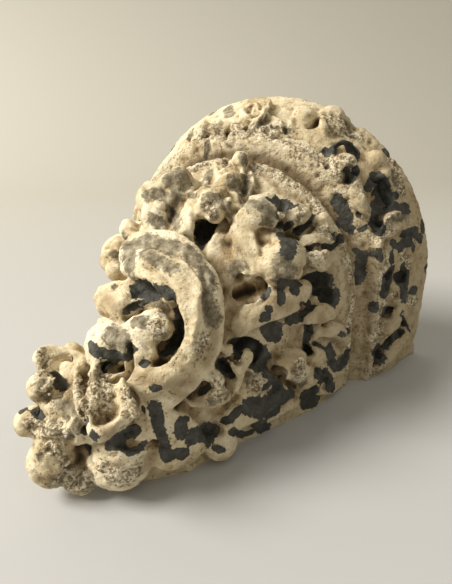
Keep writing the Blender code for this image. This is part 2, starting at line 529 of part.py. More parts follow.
# Trim block: leaves the flat back on the wall plane and the flat top of the shelf.
trim = bmesh.new()
bmesh.ops.create_cube(trim, size=1.0)
trim_width = SHELF_WIDTH + 0.1
trim_depth = SHELF_STRAIGHT + SHELF_HALF + 0.1
trim_height = HEIGHT + 0.1
bmesh.ops.scale(trim, vec=(trim_width, trim_depth, trim_height), verts=trim.verts)
bmesh.ops.translate(trim, vec=(0.0, -trim_depth / 2, -trim_height / 2), verts=trim.verts)
trim_block = as_cutter(add_object("trim_block", trim))


def add_fuse(target, name):
    """Fuse overlapping forms into one skin on the modelling grid."""
    fuse = target.modifiers.new(name, "REMESH")
    fuse.mode = "VOXEL"
    fuse.voxel_size = GRID
    fuse.adaptivity = 0.0


def add_boolean(target, name, cutter, operation):
    cut = target.modifiers.new(name, "BOOLEAN")
    cut.operation = operation
    cut.solver = "EXACT"
    cut.object = cutter


add_fuse(recesses, "fuse recesses")
add_fuse(corbel, "fuse forms")
add_boolean(corbel, "cut recesses", recesses, "DIFFERENCE")
add_fuse(corbel, "even skin")
facets = corbel.modifiers.new("fewer facets", "DECIMATE")
facets.ratio = FACES_KEPT
add_boolean(corbel, "flat back and top", trim_block, "INTERSECT")

plaster = bpy.data.materials.new("painted_plaster")
plaster.use_nodes = True
shader = plaster.node_tree.nodes["Principled BSDF"]
shader.inputs["Base Color"].default_value = (0.60, 0.51, 0.33, 1.0)
shader.inputs["Roughness"].default_value = 0.75
shader.inputs["Metallic"].default_value = 0.0
corbel.data.materials.append(plaster)
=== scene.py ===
import math

import bpy
import numpy as np
from mathutils import Matrix, Vector, kdtree, noise


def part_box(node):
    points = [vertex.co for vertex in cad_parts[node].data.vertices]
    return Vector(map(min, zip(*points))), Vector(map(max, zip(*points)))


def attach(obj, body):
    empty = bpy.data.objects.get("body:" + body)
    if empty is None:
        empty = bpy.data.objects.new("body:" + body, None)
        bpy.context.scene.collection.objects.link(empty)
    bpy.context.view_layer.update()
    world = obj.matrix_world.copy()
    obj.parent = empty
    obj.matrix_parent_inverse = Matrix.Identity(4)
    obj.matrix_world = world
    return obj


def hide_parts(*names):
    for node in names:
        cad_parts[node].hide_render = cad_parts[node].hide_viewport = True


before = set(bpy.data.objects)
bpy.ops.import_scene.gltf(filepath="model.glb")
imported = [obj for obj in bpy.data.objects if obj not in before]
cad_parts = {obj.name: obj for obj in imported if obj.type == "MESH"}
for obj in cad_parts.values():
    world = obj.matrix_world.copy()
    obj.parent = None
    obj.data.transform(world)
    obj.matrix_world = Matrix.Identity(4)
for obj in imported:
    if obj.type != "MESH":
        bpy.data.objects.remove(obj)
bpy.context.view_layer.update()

# Blank: the plain body of the casting under its carving, a flat-topped shelf with a stilted half-round
# front, a rim that slopes in, a hollow neck and a body that tapers to the pendant. It is lofted ring by
# ring from the shelf down, with spare stock behind the wall plane and above the shelf, which is sawn off
# flat at the end.
MM = 0.001
_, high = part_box("plaster_corbel")
SHELF_TOP = high.z
SHELF_HALF = 160 * MM
SHELF_STRAIGHT = 83 * MM
RIM_HEIGHT = 66 * MM
NECK_DROP = 77 * MM
NECK_HALF = 108 * MM
BODY_HEIGHT = 227 * MM
FILLET_DROP = 72 * MM
FILLET_INSET = 37 * MM
SIDE_BEARING = 90.0
WALL_BEARING = 130.0
STOCK = 12 * MM
PLAN_STEPS = 96
RIM_OUTLINE = [(0.0, 0.0), (0.06, 1.5 * MM), (0.30, 8 * MM), (0.76, 20 * MM), (1.0, 34 * MM)]
BODY_OUTLINE = [
    (0.0, 1.0, 1.0), (0.035, 1.02, 1.0), (0.233, 0.89, 0.87), (0.388, 0.70, 0.82), (0.542, 0.50, 0.75),
    (0.696, 0.34, 0.58), (0.78, 0.24, 0.42), (0.85, 0.14, 0.26), (0.90, 0.06, 0.14),
]
# the blank itself ends sooner than the carving's outline, behind the pendant
BLANK_OUTLINE = BODY_OUTLINE[1:6] + [(0.75, 0.22, 0.40), (0.79, 0.12, 0.26), (0.83, 0.05, 0.14)]
# how far up and down the slope of the surface is felt
RIM_REACH = 4 * MM
BODY_REACH = 14 * MM
# the line inside the pendant that its forms face away from
CORE_FORWARD = 45 * MM
CORE_DROP = 160 * MM
CORE_SHARE = 0.4


def plan(drop):
    """Half width and straight side of the blank at a drop below the shelf top."""
    if drop < FILLET_DROP:
        share = max(drop, 0.0) / RIM_HEIGHT
        inset = float(np.interp(share, [s for s, _ in RIM_OUTLINE], [i for _, i in RIM_OUTLINE]))
        return SHELF_HALF - inset, SHELF_STRAIGHT
    share = (drop - NECK_DROP) / BODY_HEIGHT
    shares = [s for s, _, _ in BODY_OUTLINE]
    half = float(np.interp(share, shares, [h for _, h, _ in BODY_OUTLINE])) * NECK_HALF
    straight = float(np.interp(share, shares, [s for _, _, s in BODY_OUTLINE])) * SHELF_STRAIGHT
    return half, straight


def around(drop, bearing, out, reach):
    """Place on the stilted half-round plan, and the way out of it.

    The bearing is 0 at the front, 90 where the side begins and 130 at the wall.
    """
    half, straight = plan(drop)
    angle = math.radians(max(-SIDE_BEARING, min(SIDE_BEARING, bearing)))
    beyond = max(abs(bearing) - SIDE_BEARING, 0.0) / (WALL_BEARING - SIDE_BEARING)
    forward = straight * (1.0 - beyond) + (half + out) * math.cos(angle)
    upper, lower = plan(drop - reach), plan(drop + reach)
    taper = (upper[0] - lower[0] + (upper[1] - lower[1]) * math.cos(angle)) / (2 * reach)
    way_out = Vector((math.sin(angle), -math.cos(angle), -taper)).normalized()
    return Vector(((half + out) * math.sin(angle), -forward, SHELF_TOP - drop)), way_out


def on_rim(bearing, percent, out=0.0):
    """Place on the frieze, by percent of the rim's height, out by millimetres."""
    return around(RIM_HEIGHT * percent / 100, bearing, out * MM, RIM_REACH)


def on_body(bearing, percent, out=0.0):
    """Place on the body, by percent of the way down from the neck, out by millimetres."""
    return around(NECK_DROP + BODY_HEIGHT * percent / 100, bearing, out * MM, BODY_REACH)


def in_pendant(across, forward, percent):
    """Place in the pendant, by millimetres across and forward of the wall, and the way out from its core."""
    drop = NECK_DROP + BODY_HEIGHT * percent / 100
    place = Vector((across * MM, -forward * MM, SHELF_TOP - drop))
    core = Vector((0.0, -CORE_FORWARD, SHELF_TOP - CORE_DROP - CORE_SHARE * drop))
    return place, (place - core).normalized()


def new_mesh(name, points, faces):
    """Object of a mesh given by its points and faces."""
    mesh = bpy.data.meshes.new(name)
    mesh.from_pydata([tuple(p) for p in points], [], faces)
    made = bpy.data.objects.new(name, mesh)
    bpy.context.collection.objects.link(made)
    return made


bpy.ops.object.select_all(action="DESELECT")
stations = [(SHELF_HALF, SHELF_STRAIGHT, -STOCK)]
for share, inset in RIM_OUTLINE:
    stations.append((SHELF_HALF - inset, SHELF_STRAIGHT, RIM_HEIGHT * share))
stations.append((SHELF_HALF - FILLET_INSET, SHELF_STRAIGHT, FILLET_DROP))
stations.append((NECK_HALF, SHELF_STRAIGHT, NECK_DROP))
for share, half, straight in BLANK_OUTLINE:
    stations.append((half * NECK_HALF, straight * SHELF_STRAIGHT, NECK_DROP + BODY_HEIGHT * share))
points = []
for half, straight, drop in stations:
    points.append((half, STOCK, SHELF_TOP - drop))
    for i in range(PLAN_STEPS + 1):
        angle = math.pi * i / PLAN_STEPS
        points.append((half * math.cos(angle), -straight - half * math.sin(angle), SHELF_TOP - drop))
    points.append((-half, STOCK, SHELF_TOP - drop))
ring = PLAN_STEPS + 3
faces = [tuple(range(ring)), tuple(range(len(points) - 1, len(points) - ring - 1, -1))]
for level in range(len(stations) - 1):
    for k in range(ring):
        after = (k + 1) % ring
        faces.append((level * ring + after, level * ring + k, (level + 1) * ring + k,
                      (level + 1) * ring + after))
corbel = new_mesh("corbel", points, faces)

# Carving strokes and buds: what the carver's gouge and modelling tool leave, as closed forms that overlap
# the blank. A band runs along the surface with a rounded, ridged or cupped top; a bud is an egg shape sunk
# in the surface; a curl winds in to an eye; a pocket is cut away. They are fused with the blank once all are
# in place. Most places were read by eye from the photograph and worked out on the surface by a scratch
# program; those of the hidden left side were chosen.
BUD_SUBDIVISIONS = 4
STROKE_STEPS = 8
BAND_POINTS = 17
MIN_WIDTH = 0.8
CURL_STEPS = 10
CURL_THINNING = 0.45
CURL_EYE_DEPTH = 12
forms = []
pockets = []


def surface_axes(way_out, turn=0.0):
    """Axes on the surface: across, up the face, and out."""
    across = Vector((0, 0, 1)).cross(way_out)
    if across.length < 0.1:
        across = Vector((1, 0, 0))
    across.normalize()
    axes = Matrix((across, way_out.cross(across).normalized(), way_out)).transposed()
    return axes @ Matrix.Rotation(math.radians(turn), 3, "Z")


def bud(spot, width, height, depth, turn=0.0, cut=False):
    """Egg shape by its full sizes in millimetres."""
    place, way_out = spot
    turned = surface_axes(way_out, turn).to_euler()
    size = (width / 2 * MM, height / 2 * MM, depth / 2 * MM)
    bpy.ops.mesh.primitive_ico_sphere_add(subdivisions=BUD_SUBDIVISIONS, radius=1.0, location=place,
                                          rotation=turned, scale=size)
    (pockets if cut else forms).append(bpy.context.object)


def pocket(spot, width, height, depth, turn=0.0):
    """Recess cut into the surface."""
    bud(spot, width, height, depth, turn, cut=True)


def smooth_rows(rows, steps):
    """Smooth curve through rows of numbers, with this many steps from each to the next."""
    rows = np.array(rows, float)
    rows = np.vstack([2 * rows[0] - rows[1], rows, 2 * rows[-1] - rows[-2]])
    path = []
    for i in range(1, len(rows) - 2):
        before, start, end, after = rows[i - 1:i + 3]
        for t in np.arange(steps) / steps:
            squared = (2 * before - 5 * start + 4 * end - after) * t ** 2
            cubed = (3 * start - before - 3 * end + after) * t ** 3
            path.append(0.5 * (2 * start + (end - before) * t + squared + cubed))
    path.append(rows[-2])
    return np.array(path)


def sweep(path, heading, section, group):
    """Closed bar: the section, given by shares of the width and by millimetres out, drawn along the path."""
    points = []
    for row, along in zip(path, heading):
        way_out = row[3:6] / np.linalg.norm(row[3:6])
        side = np.cross(along, way_out)
        side /= np.linalg.norm(side)
        half = max(row[6], MIN_WIDTH) / 2 * MM
        for across, up in section:
            points.append(row[:3] + side * across * half + way_out * up * MM)
    count = len(section)
    turns = len(path)
    faces = [tuple(range(count)), tuple(range(turns * count - 1, turns * count - count - 1, -1))]
    for level in range(turns - 1):
        for k in range(count):
            after = (k + 1) % count
            faces.append((level * count + after, level * count + k, (level + 1) * count + k,
                          (level + 1) * count + after))
    group.append(new_mesh("stroke", points, faces))


def band(spots, widths, rise, top="round", sink=10.0):
    """Raised stroke through the spots, its width given at each, its rise above them, in millimetres."""
    rows = [[*place, *way_out, width] for (place, way_out), width in zip(spots, widths)]
    path = smooth_rows(rows, STROKE_STEPS)
    heading = np.gradient(path[:, :3], axis=0)
    across = np.linspace(-1, 1, BAND_POINTS)
    lift = {
        "round": np.sqrt(1 - across ** 2),
        "ridge": (1 - np.abs(across)) ** 0.85,
        "cup": (1 - across ** 10) * (0.30 + 0.70 * across ** 2),
        "flat": 1 - across ** 8,
    }[top]
    section = [(a, up * rise) for a, up in zip(across, lift)] + [(0.6, -sink), (-0.6, -sink)]
    sweep(path, heading, section, forms)


def groove(spots, widths, depth, rise=9.0):
    """Stroke of the gouge along the spots, cut away to its depth, in millimetres."""
    rows = [[*place, *way_out, width] for (place, way_out), width in zip(spots, widths)]
    path = smooth_rows(rows, STROKE_STEPS)
    heading = np.gradient(path[:, :3], axis=0)
    right = [(1, rise), (1, 0), (0.75, -0.7 * depth)]
    section = right + [(0, -depth)] + [(-across, up) for across, up in reversed(right)]
    sweep(path, heading, section, pockets)


def curl(spot, radius, turns, start, width, rise, hand=1, top="round", eye=0.55, shrink=0.75, climb=2.5):
    """Spiral band winding in to an eye; start is where its outer end lies, in degrees on the surface."""
    place, way_out = spot
    axes = surface_axes(way_out)
    steps = max(int(turns * CURL_STEPS), CURL_STEPS // 2)
    spots = []
    widths = []
    for i in range(steps + 1):
        share = i / steps
        angle = math.radians(start + hand * 360 * turns * share)
        reach = radius * (1 - shrink * share) * MM
        offset = axes @ Vector((reach * math.cos(angle), reach * math.sin(angle), climb * share * MM))
        spots.append((place + offset, way_out))
        widths.append(width * (1 - CURL_THINNING * share))
    band(spots, widths, rise, top)
    if eye:
        bud(spot, radius * eye, radius * eye, CURL_EYE_DEPTH)


# Mouldings: the rough torus under the frieze, its narrow fillet, and the bead at the head of the body, run
# round the casting and into the wall.
RUN_END = 134
RUN_PLACES = 25
RUN_SINK = 6.0


def run_round(make_spot, percent, out, width, rise):
    """Moulding at one height, from the wall on one side to the wall on the other."""
    spots = [make_spot(bearing, percent, out) for bearing in np.linspace(-RUN_END, RUN_END, RUN_PLACES)]
    band(spots, [width] * len(spots), rise, sink=RUN_SINK)


run_round(on_rim, 101, 0.0, 12, 5.0)
run_round(on_rim, 88, -1.0, 5, 3.0)
run_round(on_body, 3.6, -1.5, 7, 4.5)
run_round(on_body, 8.5, -2.0, 5, 2.5)
run_round(on_rim, 3, -1.5, 6, 2.5)
# the hollow under the torus runs out shallow along the sides
for hand in (-1, 1):
    band([on_body(hand * bearing, -1.5, 3) for bearing in (58, 75, 90, 105, 120, RUN_END)],
         [3, 8, 10, 10, 10, 10], 4)

# Frieze: leaves, loops and egg-shaped knobs raised on the sloping rim, with deep pockets between them, and
# the corner that has broken away at the right of the front.
band([on_rim(-19, 62, 2), on_rim(-19, 89, 3), on_rim(-21, 105, 2)], [6, 10, 6], 5)
band([on_rim(-12, 73, 2), on_rim(-12.5, 95, 3), on_body(-14, -2.5, 2)], [6, 9, 6], 4)
band([on_rim(-6, 80, 2), on_rim(-1.5, 97, 3), on_body(-3.5, -3, 2)], [5, 9, 6], 5)
band([on_rim(-3.5, 73, 2), on_rim(-4, 48, 3), on_rim(-1, 41, 3), on_rim(2.5, 63, 2)], [4, 6, 6, 4], 4)
band([on_rim(5, 77, 2), on_rim(5.5, 61, 4), on_rim(3, 30, 3)], [4, 7, 5], 5)
band([on_rim(-2, 69, 2), on_rim(2.5, 80, 3), on_rim(5.5, 79, 2)], [4, 6, 4], 4)
curl(on_rim(1.5, 90, 2), 8, 1, 200, 4, 3, eye=0)
curl(on_rim(9.5, 88, 2), 9, 1, 20, 4, 3, -1, eye=0)
bud(on_rim(17, 45, 3), 21, 20, 13, -15)
band([on_rim(20, 22, 2), on_rim(24, 50, 4), on_rim(27.5, 64, 2)], [3, 5, 3], 4)
bud(on_rim(24, 16, 2), 22, 22, 12)
bud(on_rim(27.5, 36, 2), 20, 20, 12)
pocket(on_rim(-27, 70, 2), 8, 17, 9, -5)
pocket(on_rim(-7.5, 89, 2), 6, 15, 8, -5)
pocket(on_rim(-17.5, 97, 1), 5, 18, 7, -40)
pocket(on_rim(-19.5, 27, 0), 9, 10, 4)
pocket(on_rim(0, 54, 1), 3.5, 12, 6, -30)
pocket(on_rim(4.5, 45, 2), 4, 8, 7)
pocket(on_rim(15, 78, 1), 9, 9, 5)
pocket(on_rim(20.5, 41, 2), 4, 17, 9, -25)
pocket(on_rim(30.5, 13, 3), 16, 26, 16, -30)
pocket(on_rim(34, 26, 2), 14, 14, 8)
# round knob, with its tail leaf hanging beside it, and the leaves behind it
bud(on_rim(40, 91, 8), 22, 20, 18)
pocket(on_rim(42, 103, 16), 4, 14, 9, 35)
band([on_rim(44, 81, 4), on_rim(48, 97, 6), on_rim(53, 105, 6), on_rim(57.5, 104, 4)], [8, 13, 12, 5], 6)
band([on_rim(45.5, 99, 4), on_rim(45, 92, 6), on_rim(44, 80, 5)], [4, 8, 6], 5)
band([on_rim(35, 91, 3), on_rim(33, 78, 4), on_rim(35.5, 61, 4), on_rim(41, 59, 3)], [4, 6, 6, 4], 4)
pocket(on_rim(35, 65, 0), 22, 10, 8, -10)
bud(on_rim(45, 41, 4), 18, 18, 14, 30)
bud(on_rim(50, 43, 3), 12, 16, 11, 30)
pocket(on_rim(55.5, 58, -1), 18, 32, 15, -12)
band([on_rim(64.5, 55, 2), on_rim(64.5, 83, 9), on_rim(66, 96, 9), on_rim(67, 95, 3)],
      [10, 18, 15, 6], 8, "cup")
pocket(on_rim(70, 55, 2), 9, 18, 9, -30)
band([on_rim(67.5, 90, 2), on_rim(69.5, 105, 5), on_body(73.5, -3, 5), on_rim(78, 101, 3)], [4, 6, 6, 4], 5)
band([on_rim(70.5, 77, 1), on_rim(77, 89, 3), on_rim(85, 95, 3), on_rim(94, 94, 1)], [8, 14, 14, 6],
     4, "cup")
band([on_rim(82.5, 62, 1), on_rim(93, 72, 3), on_rim(103, 78, 3), on_rim(110, 89, 1)], [8, 15, 15, 6], 5)
band([on_rim(113, 30, 1), on_rim(116.5, 60, 3), on_rim(121.5, 79, 3), on_rim(126.5, 93, 1)],
      [8, 15, 15, 6], 5)
pocket(on_rim(84, 76, -1), 10, 26, 8, -20)
pocket(on_rim(99, 82, 0), 10, 14, 6, 20)
pocket(on_rim(110, 41, -1), 8, 18, 8, 20)
pocket(on_rim(112, 73, -1), 7, 26, 8, 50)
pocket(on_rim(118, 88, -1), 12, 16, 7)
# hidden left side, carved like the right
for bearing in (-62, -86, -108):
    bud(on_rim(bearing, 46, 2), 19, 15, 13, 20)
    curl(on_rim(bearing - 10, 60, 1), 13, 1.0, 60, 8, 6, -1)
    band([on_rim(bearing - 16, 24, 1), on_rim(bearing - 18, 60, 3), on_rim(bearing - 15, 94, 1)],
         [6, 13, 6], 6)
    pocket(on_rim(bearing - 5, 80, 0), 12, 18, 12, 20)
    pocket(on_rim(bearing - 20, 50, 0), 10, 22, 10, -15)
bud(on_rim(-124, 50, 2), 18, 18, 12)

# Buds and stalks on the front of the body, round a deep hole.
bud(on_body(-11, 25, 20), 20, 22, 22)
bud(on_body(-15, 27.5, 20), 18, 20, 24)
bud(on_body(-10.5, 30.5, 14), 17, 20, 22)
bud(on_body(-21, 31.5, 22), 28, 28, 26)
bud(on_body(-17, 37, 18), 24, 26, 24)
bud(on_body(-15, 38.5, 12), 16, 22, 20)
pocket(on_body(-11, 41.5, 34), 26, 5, 10, -10)
bud(on_body(8, 31, 16), 22, 24, 22)
bud(on_body(3, 29.5, 16), 13, 15, 16)
bud(on_body(9, 28.5, 16), 13, 15, 16)
bud(on_body(15, 31, 16), 13, 15, 16)
bud(on_body(12, 34.5, 16), 13, 15, 16)
bud(on_body(6, 34, 16), 13, 15, 16)
bud(on_body(8.5, 19.5, 10), 15, 18, 18)
bud(on_body(7.5, 16, 6), 12, 16, 16)
bud(on_body(6, 7.5, 8), 15, 16, 15)
pocket(on_body(7.5, 4.5, 4), 8, 7, 8)
band([on_body(-5, 9.5, 4), on_body(-4, 17, 6), on_body(-3.5, 22, 7)], [7, 10, 6], 5, "cup")
band([on_body(1, 11, 4), on_body(3, 18, 6), on_body(3.5, 23.5, 7)], [8, 12, 7], 6, "ridge")
band([on_body(10, 9, 3), on_body(14.5, 15, 5), on_body(17, 21.5, 6)], [8, 12, 8], 4, "cup")
band([on_body(12.5, 22.5, 7), on_body(17.5, 27.5, 9), on_body(19.5, 31.5, 9)], [10, 13, 8], 6)
pocket(on_body(14.5, 30.5, 10), 7, 10, 12, 15)
pocket(on_body(-7.5, 10, 2), 4.5, 15, 8, 15)
band([on_body(-7.5, 19, 6), on_body(-4, 28.5, 11), on_body(0, 35.5, 12), on_body(3, 42, 13)],
      [6, 15, 15, 12], 6)
band([on_body(-9, 31, 10), on_body(-6, 37.5, 12), on_body(-5, 43, 13)], [9, 14, 12], 5, "cup")
band([on_body(-29.5, 31, 12), on_body(-21.5, 38, 12), on_body(-15, 43, 12)], [7, 9, 8], 5)
band([on_body(-10, 24, 8), on_body(-4.5, 24.5, 8), on_body(0.5, 26, 8)], [6, 8, 6], 5)
pocket(on_body(7.5, 35.5, 2), 20, 17, 24, -15)
pocket(on_body(5, 31, -4), 20, 22, 20, -20)

# Broad leaf right of the hole: a wide concave blade with a bright ridge, rolled over at its head.
bud(on_body(27.5, 29, 16), 32, 30, 28)
bud(on_body(28, 25, 14), 20, 26, 24)
band([on_body(25, 31, 8), on_body(29, 35.5, 10), on_body(36, 38.5, 10), on_body(44, 40, 8)],
      [20, 24, 22, 14], 6)
band([on_body(18.5, 34, 4), on_body(23.5, 38.5, 3), on_body(31, 42, 3), on_body(39.5, 43.5, 3)],
      [16, 26, 28, 18], 5, "cup")
bud(on_body(47.5, 34, 16), 32, 38, 30, 20)
bud(on_body(37.5, 29.5, 11), 18, 18, 18)
pocket(on_body(47.5, 43, 4), 26, 18, 18, -15)
pocket(on_body(31, 14.5, 2), 12, 12, 16)
pocket(on_body(44, 22, 0), 15, 20, 26)

# Acanthus lobes at the right, fanned over a deep recess, with the tongue leaf under them and the hooked
# curl below.
bud(on_body(39.5, 18.5, 12), 17, 22, 17, -20)
band([on_body(41.5, 23, 10), on_body(38, 22, 12), on_body(37.5, 18, 12), on_body(41, 12.5, 9)],
      [6, 7, 7, 5], 4)
groove([on_body(43, 24, 12), on_body(45, 20, 13), on_body(44.5, 13.5, 12)], [4, 5, 4], 9)
bud(on_body(49, 12, 9), 16, 17, 14)
bud(on_body(50.5, 17.5, 9), 10, 12, 10)
bud(on_body(54, 12, 9), 12, 14, 12)
band([on_body(46, 23.5, 8), on_body(49.5, 22, 12), on_body(53.5, 18.5, 11), on_body(57, 11.5, 7)],
      [9, 12, 11, 7], 6)
groove([on_body(50, 26, 15), on_body(54.5, 22, 15), on_body(59, 13.5, 12)], [4, 4.5, 4], 9)
band([on_body(50.5, 26, 8), on_body(54, 25, 13), on_body(58.5, 22, 12), on_body(62, 18, 8)],
      [11, 16, 15, 9], 6)
bud(on_body(56, 23.5, 14), 24, 18, 16)
bud(on_body(51, 25, 10), 14, 16, 14)
pocket(on_body(67, 21.5, 0), 18, 34, 34)
pocket(on_body(77, 18.5, 0), 15, 22, 32)
pocket(on_body(59, 25.5, 4), 9, 12, 24)
band([on_body(59.5, 52.5, 6), on_body(57.5, 46, 8), on_body(61, 39, 9), on_body(63.5, 33.5, 10),
      on_body(63, 30, 10), on_body(60, 30.5, 7)], [10, 20, 24, 20, 12, 8], 6)
pocket(on_body(67.5, 34, 13), 5, 8, 7)
groove([on_body(70, 39.5, 8), on_body(73, 35, 9), on_body(72, 29.5, 9)], [5, 7, 6], 10)
band([on_body(77, 32, 5), on_body(76.5, 29, 8), on_body(78.5, 24.5, 8), on_body(83.5, 20.5, 4)],
      [8, 15, 14, 7], 6)
groove([on_body(82.5, 28.5, 9), on_body(84, 24.5, 10), on_body(85.5, 19.5, 8)], [3, 4, 3], 7)
band([on_body(87.5, 29, 4), on_body(87, 24.5, 6), on_body(95, 15.5, 6), on_body(106, 7.5, 3)],
      [8, 13, 13, 7], 4)
groove([on_body(81, 29.5, 7), on_body(82, 32, 7), on_body(88, 32.5, 7), on_body(97, 29.5, 6)],
      [5, 8, 8, 5], 9)
groove([on_body(92, 28.5, 6), on_body(97.5, 23.5, 6), on_body(108.5, 20, 5), on_body(112.5, 9, 4)],
      [4, 6, 7, 5], 7)
bud(on_body(99.5, 26.5, 4), 22, 16, 12)
bud(on_body(108, 29.5, 4), 20, 30, 12)
groove([on_body(108, 25, 5), on_body(114, 21, 5), on_body(122.5, 20, 4)], [4, 6, 4], 7)
bud(on_body(95, 39, 8), 26, 34, 18, 15)
bud(on_body(102, 33.5, 6), 18, 20, 16)
groove([on_body(81, 46, 6), on_body(91.5, 44, 6), on_body(102.5, 39, 5), on_body(110.5, 34, 4)],
      [5, 7, 7, 4], 7)
groove([on_body(76.5, 55, 7), on_body(68, 55, 7), on_body(66.5, 52, 7), on_body(72.5, 49, 7),
      on_body(81.5, 47.5, 7), on_body(86, 50, 7)], [6, 9, 9, 9, 9, 5], 12)
band([on_body(83, 54.5, 6), on_body(78.5, 51.5, 6), on_body(73.5, 51, 6), on_body(70.5, 51.5, 5)],
      [7, 9, 10, 7], 5, sink=14)
band([on_body(124, 4), on_body(122, 14, 3), on_body(117, 26, 3)], [14, 22, 10], 4, "cup")

# Small spiral at the lower right, and the flat leaves that run back to the wall.
band([on_body(60, 57, 11), on_body(71.5, 56, 11), on_body(82, 57, 10), on_body(88.5, 60, 9),
      on_body(84, 65.5, 8), on_body(70, 70, 7)], [7, 9, 9, 9, 8, 6], 6, sink=16)
bud(on_body(78, 62.5, 9), 18, 20, 20, -20)
bud(on_body(68.5, 62.5, 9), 12, 14, 14)
groove([on_body(62, 61.5, 12), on_body(72, 60, 12), on_body(83, 60, 11), on_body(88, 62, 10)],
      [5, 7, 6, 4], 12)
groove([on_body(66, 71, 12), on_body(69, 67.5, 12), on_body(68.5, 65, 12)], [7, 9, 8], 12)
bud(on_body(98, 48.5, 4), 26, 30, 16)
band([on_body(111.5, 34.5, 3), on_body(108.5, 44.5, 5), on_body(109, 53, 6), on_body(110, 60.5, 6)],
      [12, 24, 26, 14], 5, "flat")
bud(on_body(119, 61, 6), 26, 26, 18)
band([on_body(119.5, 31.5, 1), on_body(119, 41.5, 3), on_body(120, 49.5, 3)], [8, 14, 8], 4)
band([on_body(56.5, 76, 4), on_body(75.5, 75, 5), on_body(97.5, 72, 5), on_body(115, 67, 4)],
      [10, 24, 26, 14], 5, "flat")
bud(on_body(102.5, 75.5, 4), 26, 26, 14)

# Scroll on the lower front: a broad C band with a raised lip, a broken rosette on its stalk, and a leaf
# behind.
band([on_body(-24.5, 51.5, 18), on_body(-7.5, 55, 23), on_body(6, 56.5, 24), on_body(18, 59, 24),
      on_body(27.5, 62, 23), on_body(34.5, 65.5, 21), on_body(36.5, 70, 18), on_body(30, 74, 15),
      on_body(18.5, 77, 12)], [20, 24, 25, 25, 25, 25, 24, 22, 16], 7, "flat", sink=26)
band([on_body(-28, 44, 18), on_body(-13.5, 47.5, 21), on_body(-1, 48, 21), on_body(11.5, 49.5, 20),
      on_body(24, 52, 19), on_body(34.5, 55.5, 18), on_body(43.5, 59, 16), on_body(50, 62.5, 13),
      on_body(53.5, 67, 10), on_body(47.5, 73.5, 8), on_body(36, 78, 7)],
      [18, 22, 22, 21, 20, 20, 20, 20, 20, 18, 14], 6, sink=26)
bud(on_body(-31.5, 40, 18), 14, 14, 16)
groove([on_body(7, 65, 25), on_body(14, 64, 25), on_body(22, 64.5, 25), on_body(28.5, 66.5, 25),
      on_body(30.5, 69.5, 24), on_body(27.5, 72.5, 23), on_body(22.5, 74, 22)], [3, 5, 8, 9, 9, 8, 4], 14)
groove([on_body(-8.5, 68.5, 24), on_body(-2.5, 67, 25), on_body(2.5, 65, 25), on_body(10, 64.5, 25)],
      [4, 6, 6, 5], 10)
band([on_body(-17.5, 59.5, 14), on_body(-5.5, 60, 16), on_body(6, 60, 14), on_body(16, 60, 10)],
      [16, 20, 18, 8], 5, "cup", sink=16)
bud(on_body(10, 69, 20), 30, 22, 20)
bud(on_body(18.5, 67, 21), 22, 20, 20)
bud(on_body(16, 69, 24), 24, 16, 12)
band([on_body(0.5, 70.5, 24), on_body(7, 69, 27), on_body(13, 67, 27), on_body(19.5, 65, 25),
      on_body(24.5, 64.5, 22)], [8, 12, 12, 10, 4], 4, "ridge", sink=12)
bud(on_body(6.5, 71.5, 16), 30, 26, 20)
band([on_body(6.5, 74.5, 14), on_body(18, 75, 13), on_body(30, 73, 12)], [16, 20, 14], 5, sink=16)
pocket(on_body(28.5, 69, 18), 18, 12, 16, 30)
bud(on_body(-25, 48.5, 20), 17, 26, 16)
bud(on_body(-18.5, 49, 22), 22, 14, 10)

# Left of the scroll: knobs, a bright leaf, and a bud in its socket.
bud(on_body(-44, 45.5, 18), 20, 20, 22)
bud(on_body(-40, 49, 14), 16, 18, 20)
band([on_body(-37, 60.5, 24), on_body(-26.5, 61.5, 21), on_body(-14, 63, 19), on_body(-7, 62.5, 14)],
      [12, 26, 26, 10], 6, "flat", sink=20)
bud(on_body(-34.5, 60, 14), 26, 22, 20)
groove([on_body(-39.5, 73, 26), on_body(-20.5, 79, 24), on_body(-5, 80.5, 22), on_body(6.5, 78.5, 21),
      on_body(9, 74.5, 20), on_body(4.5, 71.5, 20)], [3, 5, 6, 6, 5, 3], 12)
bud(on_body(-19, 71.5, 16), 36, 34, 30)
band([on_body(-32, 70.5, 24), on_body(-24.5, 75.5, 26), on_body(-18, 78.5, 22)], [8, 12, 8], 5, sink=24)

# Hidden left side of the body, in keeping with the right one.
bud(on_body(-52, 36, 11), 32, 36, 28, -20)
band([on_body(-49, 28, 7), on_body(-55, 20, 11), on_body(-61, 13, 6)], [12, 16, 9], 7)
band([on_body(-66, 34, 8), on_body(-70, 28, 10), on_body(-76, 22, 6)], [16, 18, 8], 7)
band([on_body(-84, 46, 5), on_body(-86, 36, 8), on_body(-92, 26, 6), on_body(-96, 16, 3)],
     [14, 20, 16, 8], 6, "ridge")
bud(on_body(-96, 42, 7), 32, 22, 22, -25)
curl(on_body(-77, 58, 6), 20, 1.1, 70, 11, 8)
pocket(on_body(-68, 22, 1), 18, 26, 22)
pocket(on_body(-64, 48, 4), 18, 16, 16)
pocket(on_body(-88, 30, 2), 6, 24, 14)
band([on_body(-62, 4), on_body(-64, 9, 2), on_body(-68, 14, 1)], [10, 16, 8], 4)
band([on_body(-84, 4), on_body(-86, 9, 2), on_body(-86, 14, 1)], [12, 18, 8], 4)
band([on_body(-108, 6), on_body(-106, 14, 3), on_body(-104, 22, 2)], [14, 20, 8], 4)
band([on_body(-124, 4), on_body(-122, 14, 3), on_body(-117, 26, 3)], [14, 22, 10], 4, "cup")
band([on_body(-56, 80, 4), on_body(-74, 74, 7), on_body(-100, 66, 9), on_body(-124, 56, 5)],
     [10, 20, 24, 10], 7, "flat")
